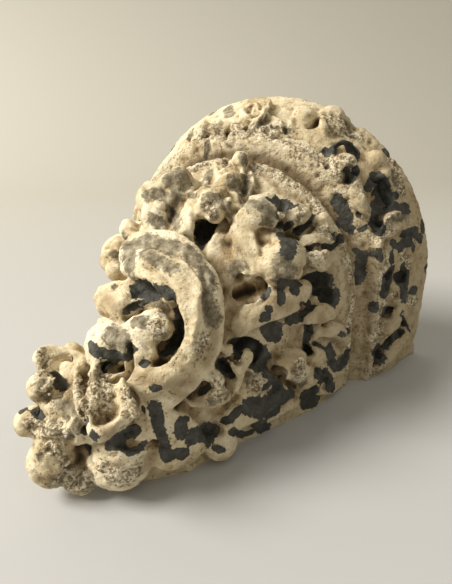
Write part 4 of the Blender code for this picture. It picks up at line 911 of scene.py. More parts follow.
# Where the finish has gone: patches flaked down to the slate coat, tops worn grey-brown, brown patches of
# soil and painted shade, and crumbly bare plaster. Each patch has its places, found as those of the strokes
# were, and its radius in millimetres.
FLAKED = [
    ([on_rim(32.5, 85, 2), on_rim(33.5, 83, 8.5), on_rim(36, 65, 4.5), on_rim(40, 62, 3)], 4.8),
    ([on_rim(42, 103, 13), on_rim(45, 101, 10), on_rim(44, 94, 14)], 3.2),
    ([on_body(48, -1.5, 11), on_body(52.5, -1.5, 11), on_body(56, -1.5, 11)], 5.2),
    ([on_body(55.5, -0.5, 4.5), on_body(60, -1.5, 9)], 3.7),
    ([on_body(56, -2, 20), on_body(57, -2, 19)], 2),
    ([on_body(62, -2, 15.5), on_rim(61.5, 108, 2)], 2.2),
    ([on_rim(49.5, 70, 0), on_rim(51, 77, 0)], 3.1),
    ([on_rim(50.5, 59, 0), on_rim(55, 43, -7), on_rim(58.5, 52, -5)], 7.5),
    ([on_rim(59.5, 63, 0), on_rim(62.5, 42, 0), on_rim(64, 28, 0)], 4.2),
    ([on_rim(57, 79, 0), on_rim(60.5, 89, 2), on_rim(64.5, 104, 10.5)], 4.7),
    ([on_rim(58, 40, -2), on_rim(58.5, 37, 0)], 4),
    ([on_rim(44.5, 6, 0.5), on_rim(46, 6, 1)], 2.9),
    ([on_rim(71.5, 46, -1), on_rim(72.5, 28, 0), on_rim(75.5, 16, 0)], 4.6),
    ([on_rim(71, 5, 1), on_rim(73.5, 8, 0.5)], 3),
    ([on_rim(71.5, 82, 3.5), on_rim(74, 69, 0), on_rim(74, 55, 0), on_rim(74.5, 41, 0)], 4),
    ([on_rim(77, 35, 0), on_rim(77.5, 36, 0)], 3.5),
    ([on_body(72, -1.5, 10), on_body(76.5, -1, 7.5), on_body(81.5, 0, 5.5)], 4.9),
    ([on_body(68.5, -0.5, 6.5), on_body(69.5, -1, 8)], 2.2),
    ([on_body(71.5, -1, 23), on_body(73.5, -1.5, 23.5)], 3.4),
    ([on_body(72, -2, 17), on_body(72, -2, 19.5)], 1.9),
    ([on_rim(74.5, 88, 4.5), on_rim(77.5, 89, 5)], 1.8),
    ([on_rim(81, 88, 5.5), on_rim(84, 94, 5), on_rim(88, 97, 4.5)], 5.4),
    ([on_rim(85, 62, -1.5), on_rim(87.5, 74, 6), on_rim(92, 74, 8)], 5.6),
    ([on_rim(93, 36, 0), on_rim(94.5, 24, 0)], 3.7),
    ([on_rim(81.5, 62, 1), on_rim(82.5, 67, 2.5)], 3.8),
    ([on_body(93, -2, 18), on_body(94.5, -2, 18.5)], 4),
    ([on_rim(98, 91, 2.5), on_rim(97.5, 79, -2)], 4.6),
    ([on_rim(98.5, 79, 9.5), on_rim(110.5, 33, -2.5), on_rim(112, 36, 4.5)], 3.2),
    ([on_rim(112, 47, 0), on_rim(112.5, 68, -0.5), on_rim(115.5, 78, -3)], 4.1),
    ([on_rim(116, 94, 2), on_rim(120.5, 91, 2)], 6.4),
    ([on_rim(86, 5, 0.5), on_rim(87.5, 4, 0.5)], 2.5),
    ([on_body(68.5, 15, -12.5), on_body(71.5, 15.5, -7), on_body(79, 14, -13.5),
      on_body(80.5, 14, -4.5)], 8),
    ([on_body(64.5, 18, -14), on_body(66.5, 15.5, -12)], 4.1),
    ([on_body(72.5, 28.5, 7), on_body(75, 31.5, 2.5), on_body(75, 34, 0)], 3.4),
    ([on_body(83, 28, 0.5), on_body(88.5, 29, 0.5), on_body(96.5, 28, 0.5)], 2.8),
    ([on_body(94, 25.5, 0), on_body(101, 20, 0)], 2.1),
    ([on_body(102.5, 17, 0), on_body(109.5, 14.5, 0), on_body(115, 12, 0), on_body(116.5, 6.5, 0),
      on_body(113.5, 5, 1.5)], 4.9),
    ([on_body(106, 28, 9.5), on_body(115.5, 20, -1.5)], 4.7),
    ([on_body(114.5, 18.5, 1.5), on_body(121, 17.5, 4), on_body(123, 16, 4.5)], 4.4),
    ([on_body(118, 26, 2), on_body(120, 27.5, 0), on_body(125.5, 23, 0), on_body(124.5, 27.5, 0)], 5.3),
    ([on_body(93.5, 18.5, 10), on_body(102.5, 5.5, 1)], 2.7),
    ([on_body(2, 28.5, -14.5), on_body(6, 31, -14)], 8.8),
    ([on_body(9.5, 39, 0), on_body(6, 27, -15)], 3.9),
    ([on_body(31, 25.5, 23.5), on_body(33, 12.5, -1.5), on_body(35.5, 19, 15)], 5.2),
    ([on_body(28, 28.5, 29.5), on_body(29.5, 28, 28.5)], 2.3),
    ([on_body(34, 28.5, 24.5), on_body(36, 20.5, 0)], 2.9),
    ([on_body(45.5, 9, 0.5), on_body(45, 13, 0), on_body(44, 17.5, 0)], 3.1),
    ([on_body(41.5, 30.5, 22.5), on_body(44, 35, 31.5), on_body(45.5, 37, 33.5)], 6),
    ([on_body(39, 22.5, 5.5), on_body(39.5, 24, 13.5)], 2.9),
    ([on_body(51, 24, 12), on_body(52.5, 23.5, 18.5), on_body(59.5, 11, 0.5), on_body(60.5, 7, 0)], 2.5),
    ([on_body(56, 13, 14), on_body(60.5, 5, 2)], 3.6),
    ([on_body(55.5, 38, 22.5), on_body(59, 33, 14.5)], 3.2),
    ([on_body(53, 40, 22.5), on_body(55.5, 38.5, 17)], 3.6),
    ([on_body(52.5, 41, 11.5), on_body(53, 42.5, 13)], 3.2),
    ([on_body(57.5, 39, 15.5), on_body(60, 40.5, 16)], 2.8),
    ([on_body(59.5, 36, 16), on_body(61, 35.5, 16.5)], 3.2),
    ([on_body(68.5, 33, 10.5), on_body(71.5, 27, 0.5)], 2.4),
    ([on_body(61.5, 46, 15), on_body(62.5, 45.5, 14.5)], 3.5),
    ([on_body(72, 40, 0), on_body(77, 39, 0)], 6.8),
    ([on_body(71, 42.5, 0), on_body(78, 41.5, 0)], 2.5),
    ([on_body(58, 44.5, 16), on_body(60, 44, 16)], 1.7),
    ([on_body(72.5, 53, 3.5), on_body(70.5, 50.5, -2), on_body(73, 46.5, -5.5), on_body(78, 44.5, -4),
      on_body(83.5, 44.5, -3)], 4.5),
    ([on_body(82.5, 44, -1.5), on_body(87.5, 43, -0.5)], 3.7),
    ([on_body(89, 47, 0.5), on_body(91.5, 45, 2), on_body(93, 46, 8)], 5),
    ([on_body(95, 45.5, 12), on_body(101, 43, 11)], 5.5),
    ([on_body(98, 47, 11.5), on_body(98, 48.5, 13)], 3.7),
    ([on_body(104.5, 52.5, 11.5), on_body(107.5, 48, 11), on_body(109.5, 42.5, 10),
      on_body(111, 39, 9.5)], 7.4),
    ([on_body(116, 43, 7.5), on_body(111, 49.5, 11.5), on_body(105, 53.5, 11.5)], 5.6),
    ([on_body(104.5, 59.5, 10), on_body(103, 56, 11)], 2.9),
    ([on_body(105, 60.5, 6.5), on_body(104.5, 60.5, 9.5)], 2.4),
    ([on_body(119, 49, 7.5), on_body(127, 43.5, 0)], 5.4),
    ([on_body(126, 48, 0), on_body(124.5, 51.5, 0), on_body(111.5, 59.5, 11.5)], 3),
    ([on_body(114.5, 65.5, 12.5), on_body(116.5, 64.5, 15)], 2.9),
    ([on_body(108.5, 63.5, 0), on_body(110, 65, 5)], 5.3),
    ([on_body(-6.5, 60, 18.5), on_body(0, 59.5, 19.5)], 6.8),
    ([on_body(2.5, 60.5, 17), on_body(8.5, 62.5, 29)], 4.2),
    ([on_body(13, 63, 32.5), on_body(17.5, 64, 33)], 4),
    ([on_body(21, 61, 15.5), on_body(27, 61.5, 8.5)], 3),
    ([on_body(30, 64, 9), on_body(27, 66.5, 9), on_body(25, 68, 9.5)], 5.3),
    ([on_body(-6, 64, 18), on_body(-0.5, 62.5, 19)], 3.1),
    ([on_body(-9.5, 65.5, 19.5), on_body(-8, 65, 20)], 2.7),
    ([on_body(-15.5, 78, 37.5), on_body(-8, 77.5, 32), on_body(-1, 76, 26), on_body(5.5, 74, 22)], 4),
    ([on_body(4.5, 73, 23.5), on_body(9.5, 75, 30.5)], 2.9),
    ([on_body(-18, 77.5, 39), on_body(-15, 78, 37)], 2.7),
    ([on_body(18, 75, 24), on_body(19.5, 75, 24.5)], 2.7),
    ([on_body(73.5, 56.5, 0.5), on_body(78, 57, 5)], 4.7),
    ([on_body(70, 64.5, 9.5), on_body(75.5, 65, 4.5)], 3.4),
    ([on_body(-8.5, 77, 21), on_body(-10.5, 76.5, 15.5)], 4.9),
    ([on_body(32, 77.5, 25), on_body(35, 77, 24.5)], 2.4),
    ([on_body(42, 78, 15.5), on_body(52.5, 78, 11)], 4),
    ([on_body(61.5, 79, 11.5), on_body(82, 78.5, 8), on_body(93, 79, 11)], 3.8),
    ([on_body(104, 74.5, 11), on_body(96, 76.5, 11.5)], 3.8),
    ([on_body(75, 74.5, 11), on_body(85, 74.5, 10.5)], 4.1),
    ([on_body(95.5, 72, 10.5), on_body(101.5, 68.5, 9), on_body(109.5, 62.5, 1)], 5.5),
    ([on_body(79.5, 72, 9), on_body(72.5, 74, 11)], 2.1),
    ([on_body(-45, 79, 42.5), on_body(-43, 78, 36)], 2.7),
    ([on_body(11, 87.5, 17), on_body(26, 86, 14.5), on_body(43, 85, 12.5), on_body(58.5, 82, 9)], 2.9),
    ([on_body(30.5, 84, 13.5), on_body(23, 85, 13.5)], 4),
    ([on_body(32.5, 79, 12), on_body(35, 79, 11)], 1.7),
    ([on_body(-29.5, 88, 16), on_body(-23.5, 89, 16)], 1.9),
    ([on_body(13.5, 94.5, 52), on_body(11.5, 94.5, 47)], 2.9),
    ([on_body(4, 93, 55), on_body(-8, 90, 38)], 2.4),
    ([on_body(-44.5, 90, 58.5), on_body(-37, 92, 54.5)], 3.3),
    ([on_body(-50, 91.5, 66)], 2.6),
    ([on_body(-40, 83, 46.5), on_body(-38.5, 83.5, 42)], 4.2),
    ([on_rim(53, 46, -3), on_rim(56.5, 42, -7.5), on_rim(58.5, 71, 0)], 6.8),
    ([on_rim(61, 48, 0), on_rim(63.5, 35, 0)], 3.4),
    ([on_body(76, 14.5, -9.5), on_body(80, 14, -4), on_body(71.5, 15, -10)], 4.8),
    ([on_body(64, 18, -10.5), on_body(68.5, 14.5, -10)], 4.7),
    ([on_body(105, 16, 0), on_body(112.5, 12.5, -0.5)], 4.2),
    ([on_rim(84.5, 66, -3.5), on_rim(85.5, 72, 4.5)], 4.3),
    ([on_body(28, 84, 13.5), on_body(34, 82.5, 12.5)], 3.7),
    ([on_body(45, 78, 15), on_body(54.5, 78, 11)], 3.1),
    ([on_body(3, 28, -15), on_body(5.5, 26.5, -13.5)], 3.9),
]
WORN = [
    ([on_rim(-23, 6, 1)], 4.1),
    ([on_rim(-15, 14, 0), on_rim(-11, 49, 0)], 4.8),
    ([on_rim(-31.5, 28, 0), on_rim(-28, 65, -1.5)], 4),
    ([on_body(-18, -2, 1), on_body(-13.5, -2, 21.5)], 3.1),
    ([on_rim(6, 82, 0.5), on_rim(9, 89, 5)], 6),
    ([on_rim(14.5, 78, -1), on_rim(15.5, 79, -1)], 4.3),
    ([on_body(-18.5, 36.5, 34.5), on_body(-15, 34.5, 29.5)], 5.3),
    ([on_body(-13.5, 42, 27), on_body(-11, 41, 20.5)], 5.1),
    ([on_body(-11.5, 30, 31), on_body(-8, 28.5, 29), on_body(-6.5, 27.5, 21.5)], 6.1),
    ([on_body(-8.5, 31.5, 25), on_body(-8, 34, 22.5)], 4.5),
    ([on_body(-8, 35.5, 13.5), on_body(-2.5, 40.5, 16.5)], 4.4),
    ([on_body(-3.5, 29.5, 17.5), on_body(0, 31.5, 20.5)], 3),
    ([on_body(-6, 14, 7.5), on_body(-3, 18, 9)], 4),
    ([on_body(7.5, 35, 28.5), on_body(11, 34, 27), on_body(14, 34, 24)], 4.3),
    ([on_body(11, 37, 24.5), on_body(13.5, 37.5, 22)], 4.2),
    ([on_body(16.5, 33.5, 24), on_body(18.5, 33, 16)], 2.9),
    ([on_body(10.5, 22, 17), on_body(12, 21.5, 11)], 4.5),
    ([on_body(8, 9.5, 14.5), on_body(9, 9.5, 10)], 4),
    ([on_body(11.5, 12.5, 6), on_body(16, 19.5, 7.5), on_body(21, 32, 27)], 4.5),
    ([on_body(28, 32.5, 32.5), on_body(31.5, 32, 30.5), on_body(33, 33, 27)], 5.5),
    ([on_rim(40, 104, 16), on_rim(42, 99, 17.5)], 3.2),
    ([on_rim(50.5, 15, 0), on_rim(55, 22, 0)], 6.1),
    ([on_rim(63.5, 102, 14.5), on_rim(63.5, 84, 12), on_rim(66.5, 39, 0)], 4.1),
    ([on_body(47, 40, 32.5), on_body(51.5, 39.5, 30.5), on_body(52.5, 40.5, 25.5)], 6.7),
    ([on_body(34, 42, 6), on_body(35, 42.5, 10.5)], 5.6),
    ([on_body(-21.5, 50.5, 28.5), on_body(-11.5, 50, 28.5), on_body(-2, 51, 28), on_body(6.5, 51, 28)],
     6.3),
    ([on_body(-6.5, 55, 32), on_body(4, 57, 33), on_body(11.5, 58, 33.5)], 4.6),
    ([on_body(10.5, 50, 27.5), on_body(20, 52, 26.5), on_body(27, 53.5, 26), on_body(32, 55.5, 26)], 4.6),
    ([on_body(33, 58, 26), on_body(40.5, 59.5, 24.5)], 5.7),
    ([on_body(-37.5, 46.5, 21.5), on_body(-35, 48.5, 17.5)], 3.8),
    ([on_body(-23, 61.5, 28.5)], 2.8),
    ([on_body(-16, 53, 28.5), on_body(-11, 58.5, 31.5)], 3.5),
    ([on_body(-6.5, 74.5, 34), on_body(0, 74.5, 31)], 6.3),
    ([on_body(5, 71, 33), on_body(10.5, 71, 34.5)], 4.4),
    ([on_body(16.5, 66.5, 30), on_body(20, 65.5, 23.5)], 3.8),
    ([on_body(24, 70, 30), on_body(22.5, 71, 29)], 3.7),
    ([on_body(2.5, 61.5, 17.5), on_body(12.5, 61, 15.5)], 4),
    ([on_body(12.5, 19, 11), on_body(18, 18, 7)], 4.6),
    ([on_body(-11, 78, 26), on_body(-3, 84.5, 47)], 3.1),
    ([on_body(-35.5, 88.5, 59.5), on_body(-31.5, 87, 57.5)], 3.8),
    ([on_body(-25.5, 89, 52.5), on_body(-17, 89, 47.5)], 5.6),
    ([on_body(-11, 91, 44.5), on_body(-9, 91, 40.5)], 3.6),
    ([on_body(-27, 93.5, 37), on_body(-16, 92.5, 38.5)], 3.7),
    ([on_body(-46, 98, 35.5), on_body(-44, 97.5, 35.5)], 3.1),
    ([on_body(-72.5, 95, 16.5), on_body(-51.5, 93, 7.5), on_body(-68, 91.5, 0.5)], 7.7),
    ([on_body(94.5, 41, 18.5), on_body(107, 35, 9.5)], 5.2),
    ([on_body(91.5, 52, 9), on_body(94.5, 51, 12.5)], 5.6),
    ([on_body(80, 66.5, 14.5), on_body(79, 64.5, 19.5)], 3.9),
    ([on_body(-33, 43, 22.5), on_body(-19, 54, 28), on_body(-12.5, 59, 28.5)], 5),
    ([on_body(-8, 73.5, 33), on_body(1, 73.5, 30.5), on_body(2.5, 76, 31)], 4.4),
    ([on_body(24.5, 33.5, 31), on_body(28, 32, 32.5), on_body(32, 32, 30)], 4.8),
    ([on_body(-11.5, 34, 26), on_body(-8.5, 34.5, 18.5)], 4.5),
]
# brown patches: partly soil, partly painted shade on shaded concave faces of the carving
SOIL_AND_SHADE_PATCHES = [
    ([on_body(22.5, 38, 5.5), on_body(31.5, 41, 6.5)], 6.4),
    ([on_body(56, 43, 15.5), on_body(64.5, 39, 16)], 5.5),
    ([on_body(67.5, 14, 0), on_body(76.5, 14, -0.5)], 7),
    ([on_body(90.5, -2, 1), on_rim(106, 93, 2)], 6.9),
    ([on_body(50, 73.5, 16.5), on_body(74.5, 69.5, 13.5), on_body(102, 60, 0)], 4.6),
    ([on_body(22.5, 43, 6.5), on_body(33, 45.5, 6), on_body(44.5, 46, 0)], 5.6),
    ([on_body(29.5, 40.5, 16), on_body(25, 39, 15), on_body(18, 32, 0)], 5.7),
    ([on_body(-24, 65, 28.5), on_body(-12, 67, 24.5)], 5.4),
    ([on_body(-67.5, 99, 26.5), on_body(-58, 95.5, 18.5)], 5),
    ([on_body(-19, 92.5, 35), on_body(-38, 90.5, 21), on_body(-37.5, 91, 10.5)], 5),
    ([on_body(77, 85, 8.5), on_body(91.5, 81.5, 4), on_body(85.5, 79.5, 3.5)], 5.7),
    ([on_body(-39.5, 82.5, 44), on_body(-36, 84, 41), on_body(-23.5, 86.5, 41.5)], 5.2),
    ([on_body(-15, 6.5, 0), on_body(-15, 10, 0), on_body(-7, 25, 25)], 6.7),
    ([on_rim(-1.5, 91, 6), on_rim(8, 98, 6), on_rim(15, 83, 0.5)], 5.1),
    ([on_rim(-16, 83, 0.5), on_rim(-6, 106, 3.5)], 5.4),
    ([on_body(45, 43.5, -3), on_body(48, 39.5, -5.5), on_body(50, 38.5, 0)], 6.4),
    ([on_rim(38, 102, 15.5), on_rim(43.5, 100, 15), on_rim(49, 78, 0), on_rim(55, 81, 0)], 4.9),
    ([on_body(48, -0.5, 4.5), on_body(61, 0, 3.5), on_body(74.5, 5.5, 1.5), on_body(92.5, 5, 2),
      on_body(114.5, -0.5, 6)], 5),
    ([on_body(66, -2, 15.5), on_body(82, -2, 12), on_body(100, -2, 14.5), on_body(119, -2, 16)], 4.3),
    ([on_body(80, 34.5, 0), on_body(88, 30.5, -1.5)], 6),
    ([on_body(89, 43.5, 11), on_body(90, 40, 16)], 7.1),
    ([on_body(58.5, 53, 13.5), on_body(60, 57, 12.5)], 5.3),
    ([on_body(41.5, 60, 24), on_body(48.5, 61.5, 21.5), on_body(55, 65, 18.5)], 4.4),
    ([on_body(28, 77, 25), on_body(41, 75, 23.5), on_body(54.5, 70, 16.5)], 5.5),
    ([on_body(12.5, 76.5, 20.5), on_body(24, 77.5, 25)], 3.7),
    ([on_body(26.5, 42, 5), on_body(36.5, 44, 5)], 4.9),
    ([on_body(76.5, 30, 15), on_body(85.5, 26.5, 10)], 4.4),
    ([on_body(13, 5, 3), on_body(23, 4.5, 3), on_body(33, 4.5, 3), on_body(42.5, 4, 2.5),
      on_body(50, 4, 3)], 4),
    ([on_body(16.5, 7, 0), on_body(27, 9.5, 0.5), on_body(36.5, 8, 0)], 4),
    ([on_body(18.5, 92, 54.5), on_body(33, 89.5, 17.5), on_body(69.5, 87.5, 11)], 5.4),
]
CRUMBLY = [
    ([on_body(-13.5, 84.5, 43), on_body(0.5, 91, 62)], 6),
    ([on_body(3, 84.5, 46.5), on_body(8, 88, 52)], 4.7),
    ([on_body(18.5, 84.5, 49.5), on_body(25, 86.5, 53)], 5.8),
    ([on_body(-45, 93, 51.5), on_body(-24.5, 92.5, 42.5)], 5.6),
    ([on_body(-43, 84, 61.5), on_body(-31, 88.5, 61.5)], 5.8),
    ([on_body(43.5, 64.5, 25.5), on_body(45.5, 66, 24)], 5),
    ([on_body(17, 70.5, 34.5), on_body(19, 70.5, 34)], 4.9),
    ([on_body(39.5, 21, 20.5), on_body(40.5, 22, 18)], 4.3),
    ([on_body(51, 16, 12.5), on_body(54, 15.5, 14.5)], 5.2),
    ([on_body(54.5, 26.5, 22), on_body(53.5, 27.5, 18.5)], 5.7),
    ([on_body(92.5, 39.5, 17.5), on_body(103, 37, 13)], 5.9),
    ([on_body(93.5, 51.5, 12), on_body(96.5, 50, 13)], 5.6),
    ([on_body(-5.5, 80, 30), on_body(4, 88, 57)], 4.2),
    ([on_body(7.5, 88.5, 54), on_body(7.5, 89.5, 53)], 4.1),
    ([on_rim(30.5, 38, 5), on_rim(34.5, 20, -1.5)], 7.8),
    ([on_body(10, 36, 25), on_body(12.5, 37.5, 23)], 5),
    ([on_rim(79, 59, 0), on_rim(83, 50, 0)], 7),
    ([on_body(70.5, 65, 18), on_body(75, 66, 19)], 5.1),
    ([on_body(-70.5, 95, 15), on_body(-59, 93, 5)], 7.6),
    ([on_rim(26, 47, 6.5), on_rim(27, 35, 8)], 7.7),
    ([on_body(21.5, 91, 16.5), on_body(50, 89.5, 14), on_body(68.5, 86.5, 11)], 6.2),
    ([on_body(-45.5, 94, 55), on_body(-41.5, 93.5, 48), on_body(-26.5, 93.5, 42.5)], 4.4),
    ([on_body(-36.5, 95.5, 37.5), on_body(-34.5, 94, 30), on_body(-40, 94, 23)], 4.3),
    ([on_body(-45.5, 80.5, 60), on_body(-42.5, 83.5, 60)], 3.3),
    ([on_body(-32, 87.5, 63.5), on_body(-31.5, 90, 66.5)], 3.8),
    ([on_body(-7, 83.5, 45.5), on_body(4, 88.5, 59)], 3),
    ([on_body(19.5, 85, 51), on_body(26, 86.5, 53)], 3.4),
    ([on_rim(-5, 92, 5), on_rim(1, 93, 5), on_rim(8, 98, 6), on_rim(12.5, 80, 0.5)], 6),
    ([on_rim(-17, 78, 2), on_rim(-10.5, 97, 4.5)], 6.4),
    ([on_rim(48, 8, 0.5), on_rim(53.5, 15, 0), on_rim(58, 22, 0)], 5.3),
    ([on_rim(91, 80, 3), on_rim(100.5, 22, 0)], 4.5),
]
# the eye of the camera, below the front and to the right
EYE = Vector((0.1713, -0.2370, SHELF_TOP - 0.4298))


def both_sides(marks):
    """The marks, and their mirror images wherever those face away from the camera's eye."""
    added = []
    for spots, *sizes in marks:
        across = [(Vector((-place.x, place.y, place.z)), Vector((-way_out.x, way_out.y, way_out.z)))
                  for place, way_out in spots]
        if all(way_out.dot(EYE - place) < 0 for place, way_out in across):
            added.append((across, *sizes))
    return marks + added


flaked, worn = field(both_sides(FLAKED)), field(both_sides(WORN))
soiled, bare = field(both_sides(SOIL_AND_SHADE_PATCHES)), field(both_sides(CRUMBLY))
# the torus and the bead are crumbly all round, and the channel between them is coloured dark brown, least at
# the sides
TORUS_ZONE = 9 * MM
BEAD_DROP = 88 * MM
BEAD_ZONE = 6 * MM
CHANNEL_ZONE = 4 * MM
CHANNEL_FADE = 85 * MM
drops_now = SHELF_TOP - spots_now[:, 2]
bare = np.maximum(bare, 0.66 * np.exp(-((drops_now - RIM_HEIGHT) / TORUS_ZONE) ** 2))
bare = np.maximum(bare, 0.60 * np.exp(-((drops_now - BEAD_DROP) / BEAD_ZONE) ** 2))
channel = np.exp(-((drops_now - NECK_DROP) / CHANNEL_ZONE) ** 2)
channel *= np.clip(1.5 - np.abs(spots_now[:, 0]) / CHANNEL_FADE, 0.3, 1.0)

# Wear: the skin is softened a little, then pitted and knocked, most where it is crumbly. Heights are in
# millimetres and grains are cycles in a metre.
KNOCK_GRAIN = 60.0
KNOCK_HEIGHT = 0.8
SAND_GRAIN = 230.0
SAND_HEIGHT = 0.55
PIT_GRAIN = 140.0
PIT_DEPTH = 0.9
CREASE_GRAIN = 85.0
CREASE_DEPTH = 1.1
PAINT_THICKNESS = 0.35
MOST_TRIANGLES = 190000


def lumps(grain, shift=(0, 0, 0)):
    """Noise of this grain at each point of the skin."""
    return np.array([noise.noise(Vector(p) * grain + Vector(shift)) for p in spots_now])


tooled = softened(carved(both_sides(TOOL_STROKES))[:, None], 1)
normals = outward()
spots_now = spots_now + normals * tooled * MM
soft = softened(spots_now, 1)
normals = outward()
worked = np.clip(0.3 + 0.9 * bare + 0.4 * worn, 0, 1)
creases = CREASE_DEPTH * worked * np.clip(1 - np.abs(lumps(CREASE_GRAIN, (3, 3, 0))) * 9, 0, 1)
sand = (SAND_HEIGHT + 1.3 * bare) * lumps(SAND_GRAIN, (7, 0, 0))
pits = (PIT_DEPTH + 2.2 * bare) * np.clip(lumps(PIT_GRAIN, (0, 9, 0)) - 0.25, 0, 1) * 3
lift = KNOCK_HEIGHT * lumps(KNOCK_GRAIN) - creases + sand - pits
lift -= PAINT_THICKNESS * (flaked > 0.55)
shaped = soft + normals * (lift * MM)[:, None]
mesh.vertices.foreach_set("co", shaped.ravel())
mesh.update()

# how deep each point lies in a hollow; the finish paints shade into the hollows from this
normals = outward()
near = np.einsum("ij,ij->i", softened(shaped, 14) - shaped, normals) / MM
wide = np.einsum("ij,ij->i", softened(shaped, 90) - shaped, normals) / MM
hollow = softened(np.clip(0.9 * near + 0.22 * wide, -1.5, 2.5)[:, None], 2)[:, 0]
strengths = {"flaked": flaked, "worn": worn, "soiled": soiled, "bare": bare, "hollow": hollow,
             "channel": channel}
for name, values in strengths.items():
    kept = mesh.attributes.new(name, "FLOAT", "POINT")
    kept.data.foreach_set("value", values)

triangles = sum(len(face.vertices) - 2 for face in mesh.polygons)
if triangles > MOST_TRIANGLES:
    fewer = corbel.modifiers.new("fewer", "DECIMATE")
    fewer.ratio = MOST_TRIANGLES / triangles
    bpy.context.view_layer.objects.active = corbel
    bpy.ops.object.modifier_apply(modifier="fewer")
cut(corbel, block("saw", 1.0, 0.5, 1.0, SHELF_TOP - 1.0), "INTERSECT")
corbel.data.materials.clear()
SAWN = 0.999
for face in corbel.data.polygons:
    face.use_smooth = abs(face.normal.y) < SAWN and face.normal.z < SAWN


# Finish: cream distemper over an older slate-grey coat, over brown-grey plaster. The cream has flaked off
# in ragged patches, is rubbed grey-brown on the high buds, and is darkened brown in every hollow as painted
# shade.
class Wire:
    """One output in the shader, with sums written as Python."""

    def __init__(self, tree, socket):
        self.tree = tree
        self.socket = socket

    def node(self, kind, settings=(), inputs=(), output=0):
        """Output of a new node with these settings, and these values or wires in its inputs."""
        made = self.tree.nodes.new(kind)
        for name, value in dict(settings).items():
            if name == "stops":
                while len(made.color_ramp.elements) < len(value):
                    made.color_ramp.elements.new(0.5)
                for element, (place, colour) in zip(made.color_ramp.elements, value):
                    element.position = place
                    element.color = (*colour, 1.0)
            else:
                setattr(made, name, value)
        for name, value in dict(inputs).items():
            if isinstance(value, Wire):
                self.tree.links.new(value.socket, made.inputs[name])
            else:
                made.inputs[name].default_value = value
        return Wire(self.tree, made.outputs[output])

    def sum(self, operation, other):
        """Math node on this wire and another, or a number."""
        return self.node("ShaderNodeMath", {"operation": operation}, {0: self, 1: other})

    def __add__(self, other):
        return self.sum("ADD", other)

    def __radd__(self, other):
        return self.sum("ADD", other)

    def __sub__(self, other):
        return self.sum("SUBTRACT", other)

    def __rsub__(self, other):
        return self.node("ShaderNodeMath", {"operation": "SUBTRACT"}, {0: other, 1: self})

    def __mul__(self, other):
        return self.sum("MULTIPLY", other)

    def __rmul__(self, other):
        return self.sum("MULTIPLY", other)

    def most(self, other):
        """The greater of the two."""
        return self.sum("MAXIMUM", other)

    def step(self, low, high):
        """0 below low, 1 above high, smooth between."""
        return self.node("ShaderNodeMapRange", {"interpolation_type": "SMOOTHSTEP"},
                         {"Value": self, "From Min": low, "From Max": high})

    def noise(self, scale, detail=4.0, rough=0.6):
        """Noise of this scale at the place this wire gives."""
        return self.node("ShaderNodeTexNoise", {}, {"Vector": self, "Scale": scale, "Detail": detail,
                                                    "Roughness": rough})

    def blend(self, other, share):
        """This colour turning into the other by the share."""
        made = self.tree.nodes.new("ShaderNodeMix")
        made.data_type = "RGBA"
        for place, value in ((0, share), (6, self), (7, other)):
            if isinstance(value, Wire):
                self.tree.links.new(value.socket, made.inputs[place])
            else:
                made.inputs[place].default_value = value
        return Wire(self.tree, made.outputs[2])


finish = bpy.data.materials.new("flaking_distemper")
finish.use_nodes = True
tree_of = finish.node_tree
shader = tree_of.nodes["Principled BSDF"]
start = Wire(tree_of, None)
place = start.node("ShaderNodeTexCoord", output=3)


def painted(name):
    """Strength kept in the mesh under this name."""
    return start.node("ShaderNodeAttribute", {"attribute_name": name}, output=2)


def ramp(stops, share):
    """Colour that runs through the stops."""
    return start.node("ShaderNodeValToRGB", {"stops": stops}, {"Fac": share})


flaked_wire, worn_wire, bare_wire = painted("flaked"), painted("worn"), painted("bare")
hollow_wire, channel_wire, soil_and_shade_wire = painted("hollow"), painted("channel"), painted("soiled")
broad = place.noise(22.0, 3.0)
ragged = place.noise(95.0, 6.0, 0.65)
ragged_fine = place.noise(420.0, 3.0, 0.6)
speck = place.noise(620.0, 2.0, 0.5)
mottle = place.noise(160.0, 5.0, 0.65)
crumb = place.noise(900.0, 3.0, 0.7)

# cream coat, with its stains, soil and dirt, the dark brown channel, and painted shade in the hollows and on
# the right side, from the lightest to the darkest
CREAM_STOPS = [(0.38, (0.42, 0.325, 0.18)), (0.49, (0.68, 0.575, 0.375)), (0.60, (0.83, 0.75, 0.56))]
STAIN_AND_HOLLOW_SHADE = (0.27, 0.18, 0.08, 1.0)
SOIL_AND_SHADE_BROWN = (0.24, 0.155, 0.07, 1.0)
HOLLOW_SHADE_BROWN = (0.17, 0.11, 0.05, 1.0)
CHANNEL_DARK_BROWN = (0.105, 0.07, 0.032, 1.0)
CRANNY_DIRT = (0.20, 0.135, 0.06, 1.0)
SIDE_GRIME_AND_SHADE = (0.30, 0.225, 0.12, 1.0)
SPECK_DIRT = (0.13, 0.085, 0.045, 1.0)
HOLLOW_SHADOW_BLACK = (0.012, 0.010, 0.006, 1.0)
cream = ramp(CREAM_STOPS, mottle * 0.5 + broad * 0.5)
# brown stain mixed with painted shade: strongest in the hollows, broken up by noise
stain_and_hollow_shade = (hollow_wire * 0.8 + (mottle - 0.5) * 2.2 + (broad - 0.5) * 1.4).step(-0.05, 1.0)
cream = cream.blend(STAIN_AND_HOLLOW_SHADE, stain_and_hollow_shade * 0.8)
# brown of the soil patches, partly painted shade
cream = cream.blend(SOIL_AND_SHADE_BROWN, (soil_and_shade_wire + (mottle - 0.5) * 1.2).step(0.3, 0.9) * 0.6)
# painted shade: darker brown deep in the hollows
cream = cream.blend(HOLLOW_SHADE_BROWN, (hollow_wire + (mottle - 0.5) * 1.2).step(0.9, 2.0) * 0.75)
